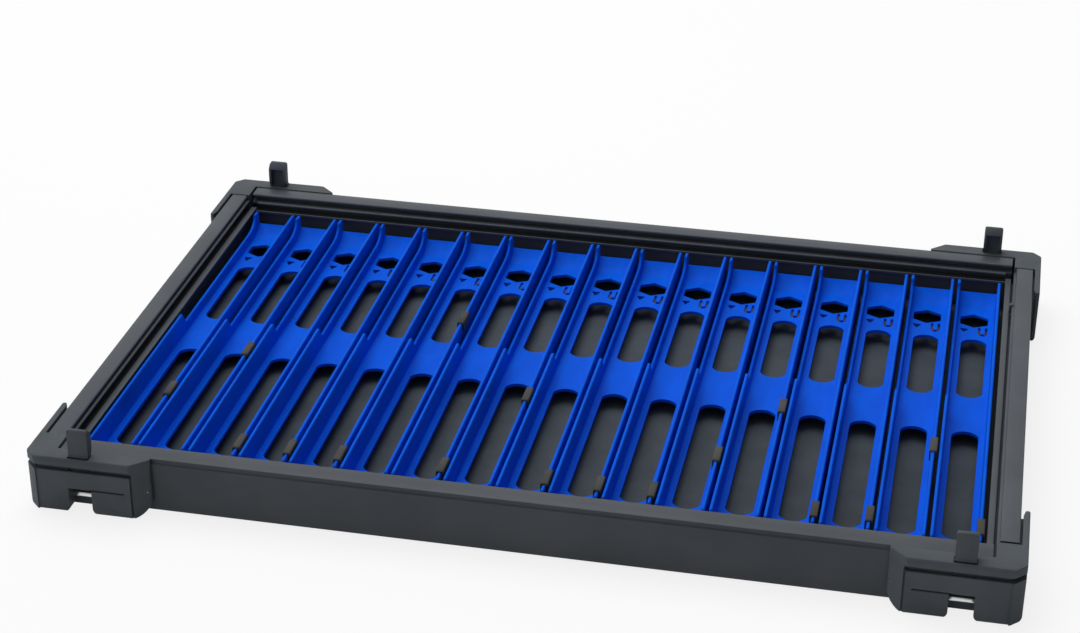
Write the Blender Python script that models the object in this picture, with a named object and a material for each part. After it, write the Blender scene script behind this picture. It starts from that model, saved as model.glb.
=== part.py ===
"""Winder tray: a low frame of four extruded rails and four moulded corner blocks.

Seventeen line winders stand side by side in it, each with a line slider clipped over one wall.
A sprung hook stands on each corner block, and a bar in each foot takes the hook of a tray below.

Metres, +Z up, X to the right and Y to the rear. The origin is under the middle of the tray, at
the height of the blocks' feet. Heights along the winders and rails are measured down from the
rails' top faces, because that is the face that everything else is set against.
"""

from math import asin, cos, degrees, radians, sin

import bmesh
import bpy
from mathutils import Matrix, Vector

# Fits and working values
CLEARANCE = 0.0003
CUT_OVERRUN = 0.003
MERGE_DISTANCE = 0.00001
ROUND_SIDES = 12
ARC_STEPS = 5
SMALL_ARC_STEPS = 3
HOLE_ARC_STEPS = 4
WINDOW_ARC_STEPS = 6
SMOOTH_ANGLE = radians(40)

# Winders
WINDER_COUNT = 17
WINDER_WIDTH = 0.023
WINDER_GAP = 0.002              # between neighbours
WINDER_LENGTH = 0.260
WINDER_WALL = 0.0016
WINDER_DROP = 0.0055            # wall tops below the rails' tops
WALL_EDGE = 0.001               # bevel on the upper corners of the walls' ends
LOW_WALL_DROP = 0.0065          # the rear half of the left wall below the rest
LOW_WALL_STEP = 0.0048          # length of the slope down to it, at the middle
HORN_LENGTH = 0.0055            # level top of the horn at the rear end of the left wall
HORN_SWEEP = 0.0125             # length of the curve from the low wall up to the horn
WEB_DROP = 0.0125               # the web's upper face below the wall tops
WEB_THICKNESS = 0.0016
LIP_LENGTH = 0.0125             # the web's ends curve up over this length
LIP_RISE = 0.005
BRIDGE_LENGTH = 0.034           # plain bridge in the middle of the web
BRIDGE_OFFSET = 0.004           # its middle, behind the winder's
WINDOW_MARGIN = 0.0033          # from a window's long side to the wall
WINDOW_BOW = 0.0044             # how far a window's ends bow out
FRONT_STRIP = 0.018             # from the front window to the winder's front end
HEX_WIDTH = 0.0147
HEX_LENGTH = 0.0156
HEX_SETBACK = 0.0237            # centre of the hexagon from the winder's rear end
CATCH_SETBACK = 0.0352          # centre of the two small holes from the winder's rear end
CATCH_OFFSET = 0.0049           # and from its middle line
REAR_STRIP = 0.0113             # from the rear window to the centre of the two small holes
NOTCH_HOLE_SIZE = 0.0036        # the three-sided hole
TONGUE_HOLE_WIDTH = 0.0054      # the U-shaped hole round a tongue
TONGUE_HOLE_LENGTH = 0.0090
TONGUE_WIDTH = 0.0018
TONGUE_LENGTH = 0.0052

# Sliders
SLIDER_LENGTH = 0.013
SLIDER_WALL = 0.0007
SLIDER_INNER_LEG = 0.0050       # below the wall tops
SLIDER_OUTER_LEG = 0.0040
SLIDER_EDGE = 0.0004
# Each slider's place along its winder, from the middle (-1 front end, 1 rear end)
SLIDER_PLACE_SHARES = (-0.584, -0.222, -0.905, -0.905, -0.908, 0.211, -0.910, -0.342, -0.912,
                       -0.915, -0.912, -0.622, -0.222, -0.918, -0.908, -0.388, -0.912)

# Rails, measured inwards from the outer face and down from the top
RAIL_HEIGHT = 0.028
BAND_WIDTH = 0.010
RAIL_WALL = 0.0018
GROOVE_WIDTH = 0.0012
GROOVE_DEPTH = 0.0096
LEDGE_WIDTH = 0.0031
LEDGE_DROP = 0.0068
LEDGE_THICKNESS = 0.0015
LEDGE_OVERHANG = 0.0020         # the ledge's edge past the wall below it
BEAD_DROP = 0.0040              # thin bead on the band's inner face
BEAD_HEIGHT = 0.0012
BEAD_REACH = 0.0007
TOP_EDGE = 0.0012               # rounded outer top edge
CHANNEL_DROP = 0.0108           # shallow channel along the outer face
CHANNEL_HEIGHT = 0.0054
CHANNEL_DEPTH = 0.0005
BOTTOM_LIP = 0.0008             # below the floor panel's slot
SLOT_DEPTH = 0.0033
SIDE_MARGIN = 0.0022            # from the outer winders to the side rails' ledges
END_MARGIN = 0.0057             # from the winders' ends to the long rails' ledges

# Floor panel
FLOOR_THICKNESS = 0.0014
FLOOR_GRIP = 0.0017             # how far it reaches into the slots

# Corner blocks, given for the one at the rear right
FOOT_DROP = 0.0008              # the feet below the rails
BLOCK_RISE = 0.0004             # the blocks' tops above the rails
SIDE_PROUD = 0.0040             # past the side rail's outer face
LONG_PROUD = 0.0100             # past the long rail's outer face
LONG_WING = 0.0600              # along X, from the block's outer side
SIDE_WING = 0.0505              # along Y, from the block's rear face
CORNER_BEVEL = 0.0055
SIDE_TAPER = 0.0017             # the side wing thins by this much at its inner end,
SIDE_TAPER_LENGTH = 0.0060      # over this length
WING_NOSE_LENGTH = 0.0080       # the long wing's slanted inner end
WING_NOSE_EDGE = 0.0022
PLATE_DEPTH = 0.0120            # the corner plate along Y, from the long rail's outer face
PLATE_GAP = 0.0005              # dark joint between the plate and the long rail's end
SLIT_WIDTH = 0.0010             # between the side wing and the rail
LIP_HEIGHT = 0.0056             # the plain band along the top of the long wing
UNDERCUT_HEIGHT = 0.0017
UNDERCUT_DEPTH = 0.0009
PANEL_DEPTH = 0.0007            # the face below the lip is set back
PANEL_START = 0.0083            # from the wing's inner end
PANEL_END = 0.0034              # from the block's outer side
FOOT_CURVE = 0.0080             # at the wing's inner end
FOOT_CORNER = 0.0025            # at the block's outer side
MOUTH_CURVE = 0.0030            # where the notch opens
HATCH_CENTRE = 0.02685          # middle of hook, notch and bar, from the block's outer side
NOTCH_WIDTH = 0.0113
NOTCH_HEIGHT = 0.0120           # above the feet, in the block's face
CHAMBER_HEIGHT = 0.0156         # and behind that face
CHAMBER_WALL = 0.0014           # the face's thickness in front of the chamber
CRACK_LENGTH = 0.0165
CRACK_HEIGHT = 0.0008
CRACK_DEPTH = 0.0016
TENON_LENGTH = 0.0140

# Hooks, bars and pins
HOOK_WIDTH = 0.0098
HOOK_THICKNESS = 0.0024
HOOK_HEIGHT = 0.0146            # above the block
HOOK_SETBACK = 0.0044           # the arm's middle line behind the block's rear face
HOOK_NOSE_REACH = 0.0028
HOOK_NOSE_FACE = 0.0036
HOOK_NOSE_SLOPE = 0.0016
HOOK_NOSE_LEAN = 0.0012         # the nose's face leans back towards its top
HOOK_RIB = 0.0014               # the two ribs down the arm's sides, as deep as the nose
HOOK_RIB_RISE = 0.0045          # height over which they swell out of the arm's foot
HOOK_EDGE = 0.0008
HOOK_TRAVEL = radians(8)
PIVOT_DROP = 0.0090             # below the block's top
PIVOT_PIN_RADIUS = 0.0010
PIVOT_PIN_LENGTH = 0.0140
ROOT_RADIUS = 0.0020
BAR_RADIUS = 0.0015
BAR_HEIGHT = 0.0070             # above the feet
BAR_SETBACK = 0.0075            # behind the block's rear face
BAR_LENGTH = 0.0200
WING_PIN_RADIUS = 0.0012
WING_PIN_LENGTH = 0.0100
WING_PIN_HEIGHT = 0.0122        # above the feet
WING_PIN_DEPTH = 0.0021         # its middle line in front of the wing's inner face

# Worked out from the sizes above
WINDER_PITCH = WINDER_WIDTH + WINDER_GAP
LEDGE_REACH = BAND_WIDTH + GROOVE_WIDTH + LEDGE_WIDTH
HALF_WIDTH = (WINDER_COUNT - 1) * WINDER_PITCH / 2 + WINDER_WIDTH / 2 + SIDE_MARGIN + LEDGE_REACH
HALF_DEPTH = WINDER_LENGTH / 2 + END_MARGIN + LEDGE_REACH
RAIL_TOP = FOOT_DROP + RAIL_HEIGHT
BLOCK_TOP = RAIL_TOP + BLOCK_RISE
WINDER_TOP = RAIL_TOP - WINDER_DROP
SLOT_HEIGHT = FLOOR_THICKNESS + 2 * CLEARANCE
FLOOR_TOP = FOOT_DROP + BOTTOM_LIP + CLEARANCE + FLOOR_THICKNESS
WINDER_FOOT = FLOOR_TOP + CLEARANCE
WEB_TOP = WINDER_TOP - WEB_DROP
INNER_WALL = LEDGE_REACH - LEDGE_OVERHANG
VOID_OUTER = RAIL_WALL
VOID_INNER = BAND_WIDTH - RAIL_WALL
VOID_HEIGHT = RAIL_HEIGHT - BOTTOM_LIP - SLOT_HEIGHT - 2 * RAIL_WALL
BLOCK_SIDE = HALF_WIDTH + SIDE_PROUD
BLOCK_REAR = HALF_DEPTH + LONG_PROUD
PLATE_INNER = HALF_WIDTH - BAND_WIDTH
PLATE_FRONT = HALF_DEPTH - PLATE_DEPTH
HATCH_X = BLOCK_SIDE - HATCH_CENTRE
HOOK_Y = BLOCK_REAR - HOOK_SETBACK
PIVOT_Z = BLOCK_TOP - PIVOT_DROP
BAR_Y = BLOCK_REAR - BAR_SETBACK
SIDE_RAIL_HALF = PLATE_FRONT - CLEARANCE
LONG_RAIL_HALF = PLATE_INNER - PLATE_GAP

CORNERS = {"rear_right": (1, 1), "rear_left": (-1, 1), "front_right": (1, -1), "front_left": (-1, -1)}

# Which way an outline's own X and Y and its thickness point, for each direction of extrusion
ORIENTATIONS = {
    "x": Matrix(((0, 0, 1), (1, 0, 0), (0, 1, 0))),
    "y": Matrix(((1, 0, 0), (0, 0, -1), (0, 1, 0))),
    "z": Matrix.Identity(3),
}
DIRECTIONS = {"x": Vector((1, 0, 0)), "y": Vector((0, 1, 0)), "z": Vector((0, 0, 1))}


def empty_scene():
    for leftover in list(bpy.data.objects):
        bpy.data.objects.remove(leftover)


def new_collection(name):
    collection = bpy.data.collections.new(name)
    bpy.context.scene.collection.children.link(collection)
    return collection


def finish(name, colour, roughness, metallic=0.0):
    """A plain Principled material."""
    material = bpy.data.materials.new(name)
    material.use_nodes = True
    shader = material.node_tree.nodes["Principled BSDF"]
    shader.inputs["Base Color"].default_value = (*colour, 1.0)
    shader.inputs["Roughness"].default_value = roughness
    shader.inputs["Metallic"].default_value = metallic
    material.diffuse_color = (*colour, 1.0)
    return material


def guide(name, data):
    """An object that only helps to make a solid."""
    helper = bpy.data.objects.new(name, data)
    helper.hide_render = True
    helper.display_type = "WIRE"
    GUIDES.objects.link(helper)
    return helper


def settled(helper):
    """The helper's evaluated mesh, welded, in world space. The helper is removed."""
    bpy.context.view_layer.update()
    depsgraph = bpy.context.evaluated_depsgraph_get()
    mesh = bpy.data.meshes.new_from_object(helper.evaluated_get(depsgraph))
    mesh.transform(helper.matrix_world)
    bpy.data.objects.remove(helper)
    shape = bmesh.new()
    shape.from_mesh(mesh)
    bmesh.ops.remove_doubles(shape, verts=shape.verts, dist=MERGE_DISTANCE)
    bmesh.ops.recalc_face_normals(shape, faces=shape.faces)
    shape.to_mesh(mesh)
    shape.free()
    return mesh


def extruded(outlines, axis, low, high):
    """A flat outline, with any holes in it, carried along an axis from low to high."""
    curve = bpy.data.curves.new("outline", "CURVE")
    curve.dimensions = "2D"
    curve.fill_mode = "BOTH"
    curve.extrude = (high - low) / 2
    for outline in outlines:
        spline = curve.splines.new("POLY")
        spline.points.add(len(outline) - 1)
        for point, (across, up) in zip(spline.points, outline):
            point.co = (across, up, 0, 1)
        spline.use_cyclic_u = True
    helper = guide("outline", curve)
    middle = DIRECTIONS[axis] * (low + high) / 2
    helper.matrix_world = Matrix.Translation(middle) @ ORIENTATIONS[axis].to_4x4()
    return settled(helper)


def rod(axis, radius, centre, length):
    """A closed cylinder about a point, along an axis."""
    shape = bmesh.new()
    turn = ORIENTATIONS[axis].to_4x4()
    bmesh.ops.create_cone(shape, cap_ends=True, segments=ROUND_SIDES, radius1=radius, radius2=radius,
                          depth=length, matrix=Matrix.Translation(centre) @ turn)
    mesh = bpy.data.meshes.new("rod")
    shape.to_mesh(mesh)
    shape.free()
    return mesh


def block_between(low, high):
    """A box between two corners."""
    size = Vector(high) - Vector(low)
    middle = (Vector(high) + Vector(low)) / 2
    shape = bmesh.new()
    bmesh.ops.create_cube(shape, size=1, matrix=Matrix.LocRotScale(middle, None, size))
    mesh = bpy.data.meshes.new("box")
    shape.to_mesh(mesh)
    shape.free()
    return mesh


def combined(base, added=(), removed=()):
    """The base mesh with other meshes joined to it and cut out of it."""
    target = guide("target", base)
    helpers = []
    for operation, meshes in (("UNION", added), ("DIFFERENCE", removed)):
        for mesh in meshes:
            helper = guide("tool", mesh)
            helpers.append(helper)
            step = target.modifiers.new(operation, "BOOLEAN")
            step.operation = operation
            step.solver = "EXACT"
            step.object = helper
    result = settled(target)
    for helper in helpers:
        bpy.data.objects.remove(helper)
    return result


def mirrored(mesh, side, end):
    """A copy of a rear right piece's mesh for the corner at the given side and end."""
    copy = mesh.copy()
    copy.transform(Matrix.Diagonal((side, end, 1, 1)))
    if side * end < 0:
        copy.flip_normals()
    return copy


def place(name, mesh, material, origin=(0, 0, 0)):
    """A finished piece in the tray's collection, with its own origin."""
    mesh.name = name
    mesh.transform(Matrix.Translation(-Vector(origin)))
    mesh.shade_smooth()
    mesh.set_sharp_from_angle(angle=SMOOTH_ANGLE)
    mesh.materials.clear()
    mesh.materials.append(material)
    piece = bpy.data.objects.new(name, mesh)
    piece.location = origin
    TRAY.objects.link(piece)
    return piece


def arc(centre, radii, start, stop, steps=ARC_STEPS):
    """Points along part of an ellipse, between two angles in degrees."""
    angles = [radians(start + (stop - start) * step / steps) for step in range(steps + 1)]
    return [(centre[0] + radii[0] * cos(angle), centre[1] + radii[1] * sin(angle)) for angle in angles]


def rail_outline():
    """A rail's section: distance inwards from its outer face, and height from its top."""
    channel_foot = -CHANNEL_DROP - CHANNEL_HEIGHT
    bead_foot = -BEAD_DROP - BEAD_HEIGHT
    slot_top = -RAIL_HEIGHT + BOTTOM_LIP + SLOT_HEIGHT
    slot_foot = -RAIL_HEIGHT + BOTTOM_LIP
    groove_inner = BAND_WIDTH + GROOVE_WIDTH
    outer = [
        (0, -RAIL_HEIGHT),
        (0, channel_foot - CHANNEL_DEPTH),
        (CHANNEL_DEPTH, channel_foot),
        (CHANNEL_DEPTH, -CHANNEL_DROP),
        (0, -CHANNEL_DROP + CHANNEL_DEPTH),
    ]
    outer += arc((TOP_EDGE, -TOP_EDGE), (TOP_EDGE, TOP_EDGE), 180, 90, SMALL_ARC_STEPS)
    outer += [
        (BAND_WIDTH, 0),
        (BAND_WIDTH, -BEAD_DROP),
        (BAND_WIDTH + BEAD_REACH, -BEAD_DROP - BEAD_HEIGHT / 3),
        (BAND_WIDTH + BEAD_REACH, bead_foot + BEAD_HEIGHT / 3),
        (BAND_WIDTH, bead_foot),
        (BAND_WIDTH, -GROOVE_DEPTH),
        (groove_inner, -GROOVE_DEPTH),
        (groove_inner, -LEDGE_DROP),
        (LEDGE_REACH, -LEDGE_DROP),
        (LEDGE_REACH, -LEDGE_DROP - LEDGE_THICKNESS),
        (INNER_WALL, -LEDGE_DROP - LEDGE_THICKNESS),
        (INNER_WALL, slot_top),
        (INNER_WALL - SLOT_DEPTH, slot_top),
        (INNER_WALL - SLOT_DEPTH, slot_foot),
        (INNER_WALL, slot_foot),
        (INNER_WALL, -RAIL_HEIGHT),
    ]
    return outer


def rail_void():
    """The hollow along a rail that takes the corner blocks' tenons."""
    return [
        (VOID_OUTER, -RAIL_WALL),
        (VOID_OUTER, -RAIL_WALL - VOID_HEIGHT),
        (VOID_INNER, -RAIL_WALL - VOID_HEIGHT),
        (VOID_INNER, -RAIL_WALL),
    ]


def make_rails(material):
    for side, name in ((1, "right_rail"), (-1, "left_rail")):
        outlines = [[(side * (HALF_WIDTH - inwards), RAIL_TOP + up) for inwards, up in outline]
                    for outline in (rail_outline(), rail_void())]
        place(name, extruded(outlines, "y", -SIDE_RAIL_HALF, SIDE_RAIL_HALF), material)
    for end, name in ((1, "rear_rail"), (-1, "front_rail")):
        outlines = [[(end * (HALF_DEPTH - inwards), RAIL_TOP + up) for inwards, up in outline]
                    for outline in (rail_outline(), rail_void())]
        rail = extruded(outlines, "x", -LONG_RAIL_HALF, LONG_RAIL_HALF)
        # The ledges of the side rails run past the ends of the long rails' ledges
        trims = []
        for side in (-1, 1):
            ledge_end = side * (HALF_WIDTH - LEDGE_REACH - CLEARANCE)
            past_end = side * (HALF_WIDTH + CUT_OVERRUN)
            ledge_root = end * (HALF_DEPTH - BAND_WIDTH - CLEARANCE)
            past_ledge = end * (HALF_DEPTH - LEDGE_REACH - CUT_OVERRUN)
            low = (min(ledge_end, past_end), min(ledge_root, past_ledge), -CUT_OVERRUN)
            high = (max(ledge_end, past_end), max(ledge_root, past_ledge), RAIL_TOP + CUT_OVERRUN)
            trims.append(block_between(low, high))
        place(name, combined(rail, removed=trims), material)


def make_floor_panel(material):
    half_width = HALF_WIDTH - INNER_WALL + FLOOR_GRIP
    half_depth = HALF_DEPTH - INNER_WALL + FLOOR_GRIP
    low = (-half_width, -half_depth, FLOOR_TOP - FLOOR_THICKNESS)
    high = (half_width, half_depth, FLOOR_TOP)
    place("floor_panel", block_between(low, high), material)


def block_plan():
    """The rear right block seen from above."""
    wing_end = BLOCK_SIDE - LONG_WING
    wing_face = HALF_DEPTH + CLEARANCE
    slit = HALF_WIDTH + SLIT_WIDTH
    side_end = BLOCK_REAR - SIDE_WING
    return [
        (wing_end, wing_face),
        (PLATE_INNER, wing_face),
        (PLATE_INNER, PLATE_FRONT),
        (slit, PLATE_FRONT),
        (slit, side_end + SIDE_TAPER_LENGTH),
        (slit + SIDE_TAPER, side_end),
        (BLOCK_SIDE, side_end),
        (BLOCK_SIDE, BLOCK_REAR - CORNER_BEVEL),
        (BLOCK_SIDE - CORNER_BEVEL, BLOCK_REAR),
        (wing_end + WING_NOSE_LENGTH, BLOCK_REAR),
        (wing_end, wing_face + WING_NOSE_EDGE),
    ]


def foot_cutters():
    """What rounds the foot's two lower corners, seen from the rear."""
    wing_end = BLOCK_SIDE - LONG_WING
    low = BLOCK_REAR - SIDE_WING - CUT_OVERRUN
    high = BLOCK_REAR + CUT_OVERRUN
    inner = arc((wing_end + FOOT_CURVE, FOOT_CURVE), (FOOT_CURVE, FOOT_CURVE), 180, 270)
    inner += [(wing_end + FOOT_CURVE, -CUT_OVERRUN), (wing_end - CUT_OVERRUN, -CUT_OVERRUN),
              (wing_end - CUT_OVERRUN, FOOT_CURVE)]
    outer = arc((BLOCK_SIDE - FOOT_CORNER, FOOT_CORNER), (FOOT_CORNER, FOOT_CORNER), 270, 360,
                SMALL_ARC_STEPS)
    outer += [(BLOCK_SIDE + CUT_OVERRUN, FOOT_CORNER), (BLOCK_SIDE + CUT_OVERRUN, -CUT_OVERRUN),
              (BLOCK_SIDE - FOOT_CORNER, -CUT_OVERRUN)]
    return [extruded([inner], "y", low, high), extruded([outer], "y", low, high)]


def notch_cutters():
    """The notch in the foot, flared at its mouth, and the higher chamber behind the face."""
    left, right = HATCH_X - NOTCH_WIDTH / 2, HATCH_X + NOTCH_WIDTH / 2
    mouth = [(right, NOTCH_HEIGHT), (left, NOTCH_HEIGHT)]
    mouth += arc((left - MOUTH_CURVE, MOUTH_CURVE), (MOUTH_CURVE, MOUTH_CURVE), 0, -90,
                 SMALL_ARC_STEPS)
    mouth += [(left - MOUTH_CURVE, -CUT_OVERRUN), (right + MOUTH_CURVE, -CUT_OVERRUN)]
    mouth += arc((right + MOUTH_CURVE, MOUTH_CURVE), (MOUTH_CURVE, MOUTH_CURVE), 270, 180,
                 SMALL_ARC_STEPS)
    chamber_wall = BAR_Y - BAR_RADIUS - CLEARANCE
    notch = extruded([mouth], "y", chamber_wall, BLOCK_REAR + CUT_OVERRUN)
    chamber = block_between((left, chamber_wall, NOTCH_HEIGHT - CUT_OVERRUN),
                            (right, BLOCK_REAR - CHAMBER_WALL, CHAMBER_HEIGHT))
    return [notch, chamber]


def face_cutters():
    """The undercut below the lip, the face set back under it, and the thin crack."""
    panel_start = BLOCK_SIDE - LONG_WING + PANEL_START
    panel_end = BLOCK_SIDE - PANEL_END
    lip_foot = BLOCK_TOP - LIP_HEIGHT
    rear = BLOCK_REAR + CUT_OVERRUN
    panel = block_between((panel_start, BLOCK_REAR - PANEL_DEPTH, -CUT_OVERRUN), (panel_end, rear, lip_foot))
    undercut = block_between((panel_start, BLOCK_REAR - UNDERCUT_DEPTH, lip_foot - UNDERCUT_HEIGHT),
                             (panel_end, rear, lip_foot))
    notch_side = HATCH_X - NOTCH_WIDTH / 2
    crack = block_between(
        (notch_side - CRACK_LENGTH, BLOCK_REAR - PANEL_DEPTH - CRACK_DEPTH, NOTCH_HEIGHT - CRACK_HEIGHT),
        (notch_side + CRACK_HEIGHT, rear, NOTCH_HEIGHT))
    return [panel, undercut, crack]


def hook_slot():
    """The slot in the block's top for the hook, with room for it to spring outwards."""
    half = HOOK_WIDTH / 2 + CLEARANCE
    swing = (PIVOT_DROP + CLEARANCE) * sin(HOOK_TRAVEL)
    inner = HOOK_Y - ROOT_RADIUS - CLEARANCE
    outer = HOOK_Y + max(ROOT_RADIUS, HOOK_THICKNESS / 2 + swing) + CLEARANCE
    return block_between((HATCH_X - half, inner, PIVOT_Z - ROOT_RADIUS - CLEARANCE),
                         (HATCH_X + half, outer, BLOCK_TOP + CUT_OVERRUN))


def block_mesh():
    """The whole rear right block: wings, corner plate, tenons, and everything cut out of it."""
    tenon_top = RAIL_TOP - RAIL_WALL - CLEARANCE
    tenon_foot = RAIL_TOP - RAIL_WALL - VOID_HEIGHT + CLEARANCE
    tenon_outer = VOID_OUTER + CLEARANCE
    tenon_inner = VOID_INNER - CLEARANCE
    long_tenon = block_between(
        (PLATE_INNER - TENON_LENGTH, HALF_DEPTH - tenon_inner, tenon_foot),
        (PLATE_INNER + CUT_OVERRUN, HALF_DEPTH - tenon_outer, tenon_top))
    side_tenon = block_between(
        (HALF_WIDTH - tenon_inner, PLATE_FRONT - TENON_LENGTH, tenon_foot),
        (HALF_WIDTH - tenon_outer, PLATE_FRONT + CUT_OVERRUN, tenon_top))
    pivot_hole = rod("x", PIVOT_PIN_RADIUS + CLEARANCE, (HATCH_X, HOOK_Y, PIVOT_Z),
                     PIVOT_PIN_LENGTH + 2 * CLEARANCE)
    bar_hole = rod("x", BAR_RADIUS + CLEARANCE, (HATCH_X, BAR_Y, BAR_HEIGHT), BAR_LENGTH + 2 * CLEARANCE)
    pin_hole_length = WING_PIN_LENGTH + CUT_OVERRUN
    pin_hole_middle = wing_pin_start() + WING_PIN_LENGTH + CLEARANCE - pin_hole_length / 2
    pin_hole = rod("x", WING_PIN_RADIUS + CLEARANCE, (pin_hole_middle, wing_pin_y(), WING_PIN_HEIGHT),
                   pin_hole_length)
    body = extruded([block_plan()], "z", 0, BLOCK_TOP)
    cutters = foot_cutters() + notch_cutters() + face_cutters() + [hook_slot()]
    return combined(body, (long_tenon, side_tenon), cutters + [pivot_hole, bar_hole, pin_hole])


def wing_pin_y():
    """The wing pin lies close to the wing's inner face."""
    return HALF_DEPTH + CLEARANCE + WING_PIN_DEPTH


def wing_pin_start():
    """The pin's inner end, where the wing's slanted end leaves the pin's outer side bare."""
    nose_rise = LONG_PROUD - CLEARANCE - WING_NOSE_EDGE
    up_the_nose = max(0, WING_PIN_DEPTH + WING_PIN_RADIUS - WING_NOSE_EDGE)
    return BLOCK_SIDE - LONG_WING + WING_NOSE_LENGTH * up_the_nose / nose_rise


def hook_mesh():
    """The rear right hook: its root round the pin, and an arm with a rib down each side and a nose."""
    inner, outer = HOOK_Y - HOOK_THICKNESS / 2, HOOK_Y + HOOK_THICKNESS / 2
    top = BLOCK_TOP + HOOK_HEIGHT
    nose = inner - HOOK_NOSE_REACH
    shoulder = PIVOT_Z + ROOT_RADIUS
    rib_foot = BLOCK_TOP + CLEARANCE
    profile = arc((HOOK_Y, PIVOT_Z), (ROOT_RADIUS, ROOT_RADIUS), 0, -180)
    profile.append((inner, shoulder))
    profile += arc((inner, rib_foot + HOOK_RIB_RISE), (HOOK_NOSE_REACH, HOOK_RIB_RISE), 270, 180,
                   SMALL_ARC_STEPS)
    profile += [
        (nose, top - HOOK_NOSE_FACE),
        (nose + HOOK_NOSE_LEAN, top - HOOK_EDGE),
        (nose + HOOK_NOSE_LEAN + HOOK_EDGE, top),
        (outer - HOOK_EDGE, top),
        (outer, top - HOOK_EDGE),
        (outer, shoulder),
    ]
    eye_radius = PIVOT_PIN_RADIUS + CLEARANCE
    eye = arc((HOOK_Y, PIVOT_Z), (eye_radius, eye_radius), 0, 360, ROUND_SIDES)[:-1]
    hook = extruded([profile, eye], "x", HATCH_X - HOOK_WIDTH / 2, HATCH_X + HOOK_WIDTH / 2)
    # The pocket under the nose, between the ribs
    pocket = [
        (nose - CUT_OVERRUN, rib_foot - CLEARANCE / 2),
        (inner, rib_foot - CLEARANCE / 2),
        (inner, top - HOOK_NOSE_FACE - HOOK_NOSE_SLOPE),
        (nose, top - HOOK_NOSE_FACE),
        (nose - CUT_OVERRUN, top - HOOK_NOSE_FACE),
    ]
    pocket_half = HOOK_WIDTH / 2 - HOOK_RIB
    return combined(hook, removed=[extruded([pocket], "x", HATCH_X - pocket_half, HATCH_X + pocket_half)])


def make_corners(plastic, steel):
    """Each corner's block with its hook, pivot pin, latch bar and wing pin."""
    block = block_mesh()
    hook = hook_mesh()
    pivot_pin = rod("x", PIVOT_PIN_RADIUS, (HATCH_X, HOOK_Y, PIVOT_Z), PIVOT_PIN_LENGTH)
    bar = rod("x", BAR_RADIUS, (HATCH_X, BAR_Y, BAR_HEIGHT), BAR_LENGTH)
    wing_pin_middle = wing_pin_start() + WING_PIN_LENGTH / 2
    wing_pin = rod("x", WING_PIN_RADIUS, (wing_pin_middle, wing_pin_y(), WING_PIN_HEIGHT), WING_PIN_LENGTH)
    for corner, (side, end) in CORNERS.items():
        place("corner_block_" + corner, mirrored(block, side, end), plastic)
        pivot = (side * HATCH_X, end * HOOK_Y, PIVOT_Z)
        place("hook_" + corner, mirrored(hook, side, end), plastic, pivot)
        place("hook_pivot_pin_" + corner, mirrored(pivot_pin, side, end), steel)
        place("latch_bar_" + corner, mirrored(bar, side, end), steel)
        place("wing_pin_" + corner, mirrored(wing_pin, side, end), steel)


def wall_outline(low_rear_half):
    """One of a winder's side walls, seen from the side: place along Y and height."""
    end = WINDER_LENGTH / 2
    low = WINDER_TOP - LOW_WALL_DROP
    outline = [(-end, WINDER_FOOT), (end, WINDER_FOOT), (end, WINDER_TOP - WALL_EDGE),
               (end - WALL_EDGE, WINDER_TOP)]
    if low_rear_half:
        sweep_end = end - HORN_LENGTH
        sweep_start = sweep_end - HORN_SWEEP
        outline += arc((sweep_start, WINDER_TOP), (HORN_SWEEP, LOW_WALL_DROP), 0, -90)
        outline += [(LOW_WALL_STEP, low), (0, WINDER_TOP)]
    outline += [(-end + WALL_EDGE, WINDER_TOP), (-end, WINDER_TOP - WALL_EDGE)]
    return outline


def window_outline(front, rear):
    """A window in the web, with its ends bowed along a circle, seen from above."""
    half = WINDER_WIDTH / 2 - WINDER_WALL - WINDOW_MARGIN
    radius = (half ** 2 + WINDOW_BOW ** 2) / (2 * WINDOW_BOW)
    spread = degrees(asin(half / radius))
    rear_end = arc((0, rear - radius), (radius, radius), 90 - spread, 90 + spread, WINDOW_ARC_STEPS)
    front_end = arc((0, front + radius), (radius, radius), 270 - spread, 270 + spread, WINDOW_ARC_STEPS)
    return rear_end + front_end


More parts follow.
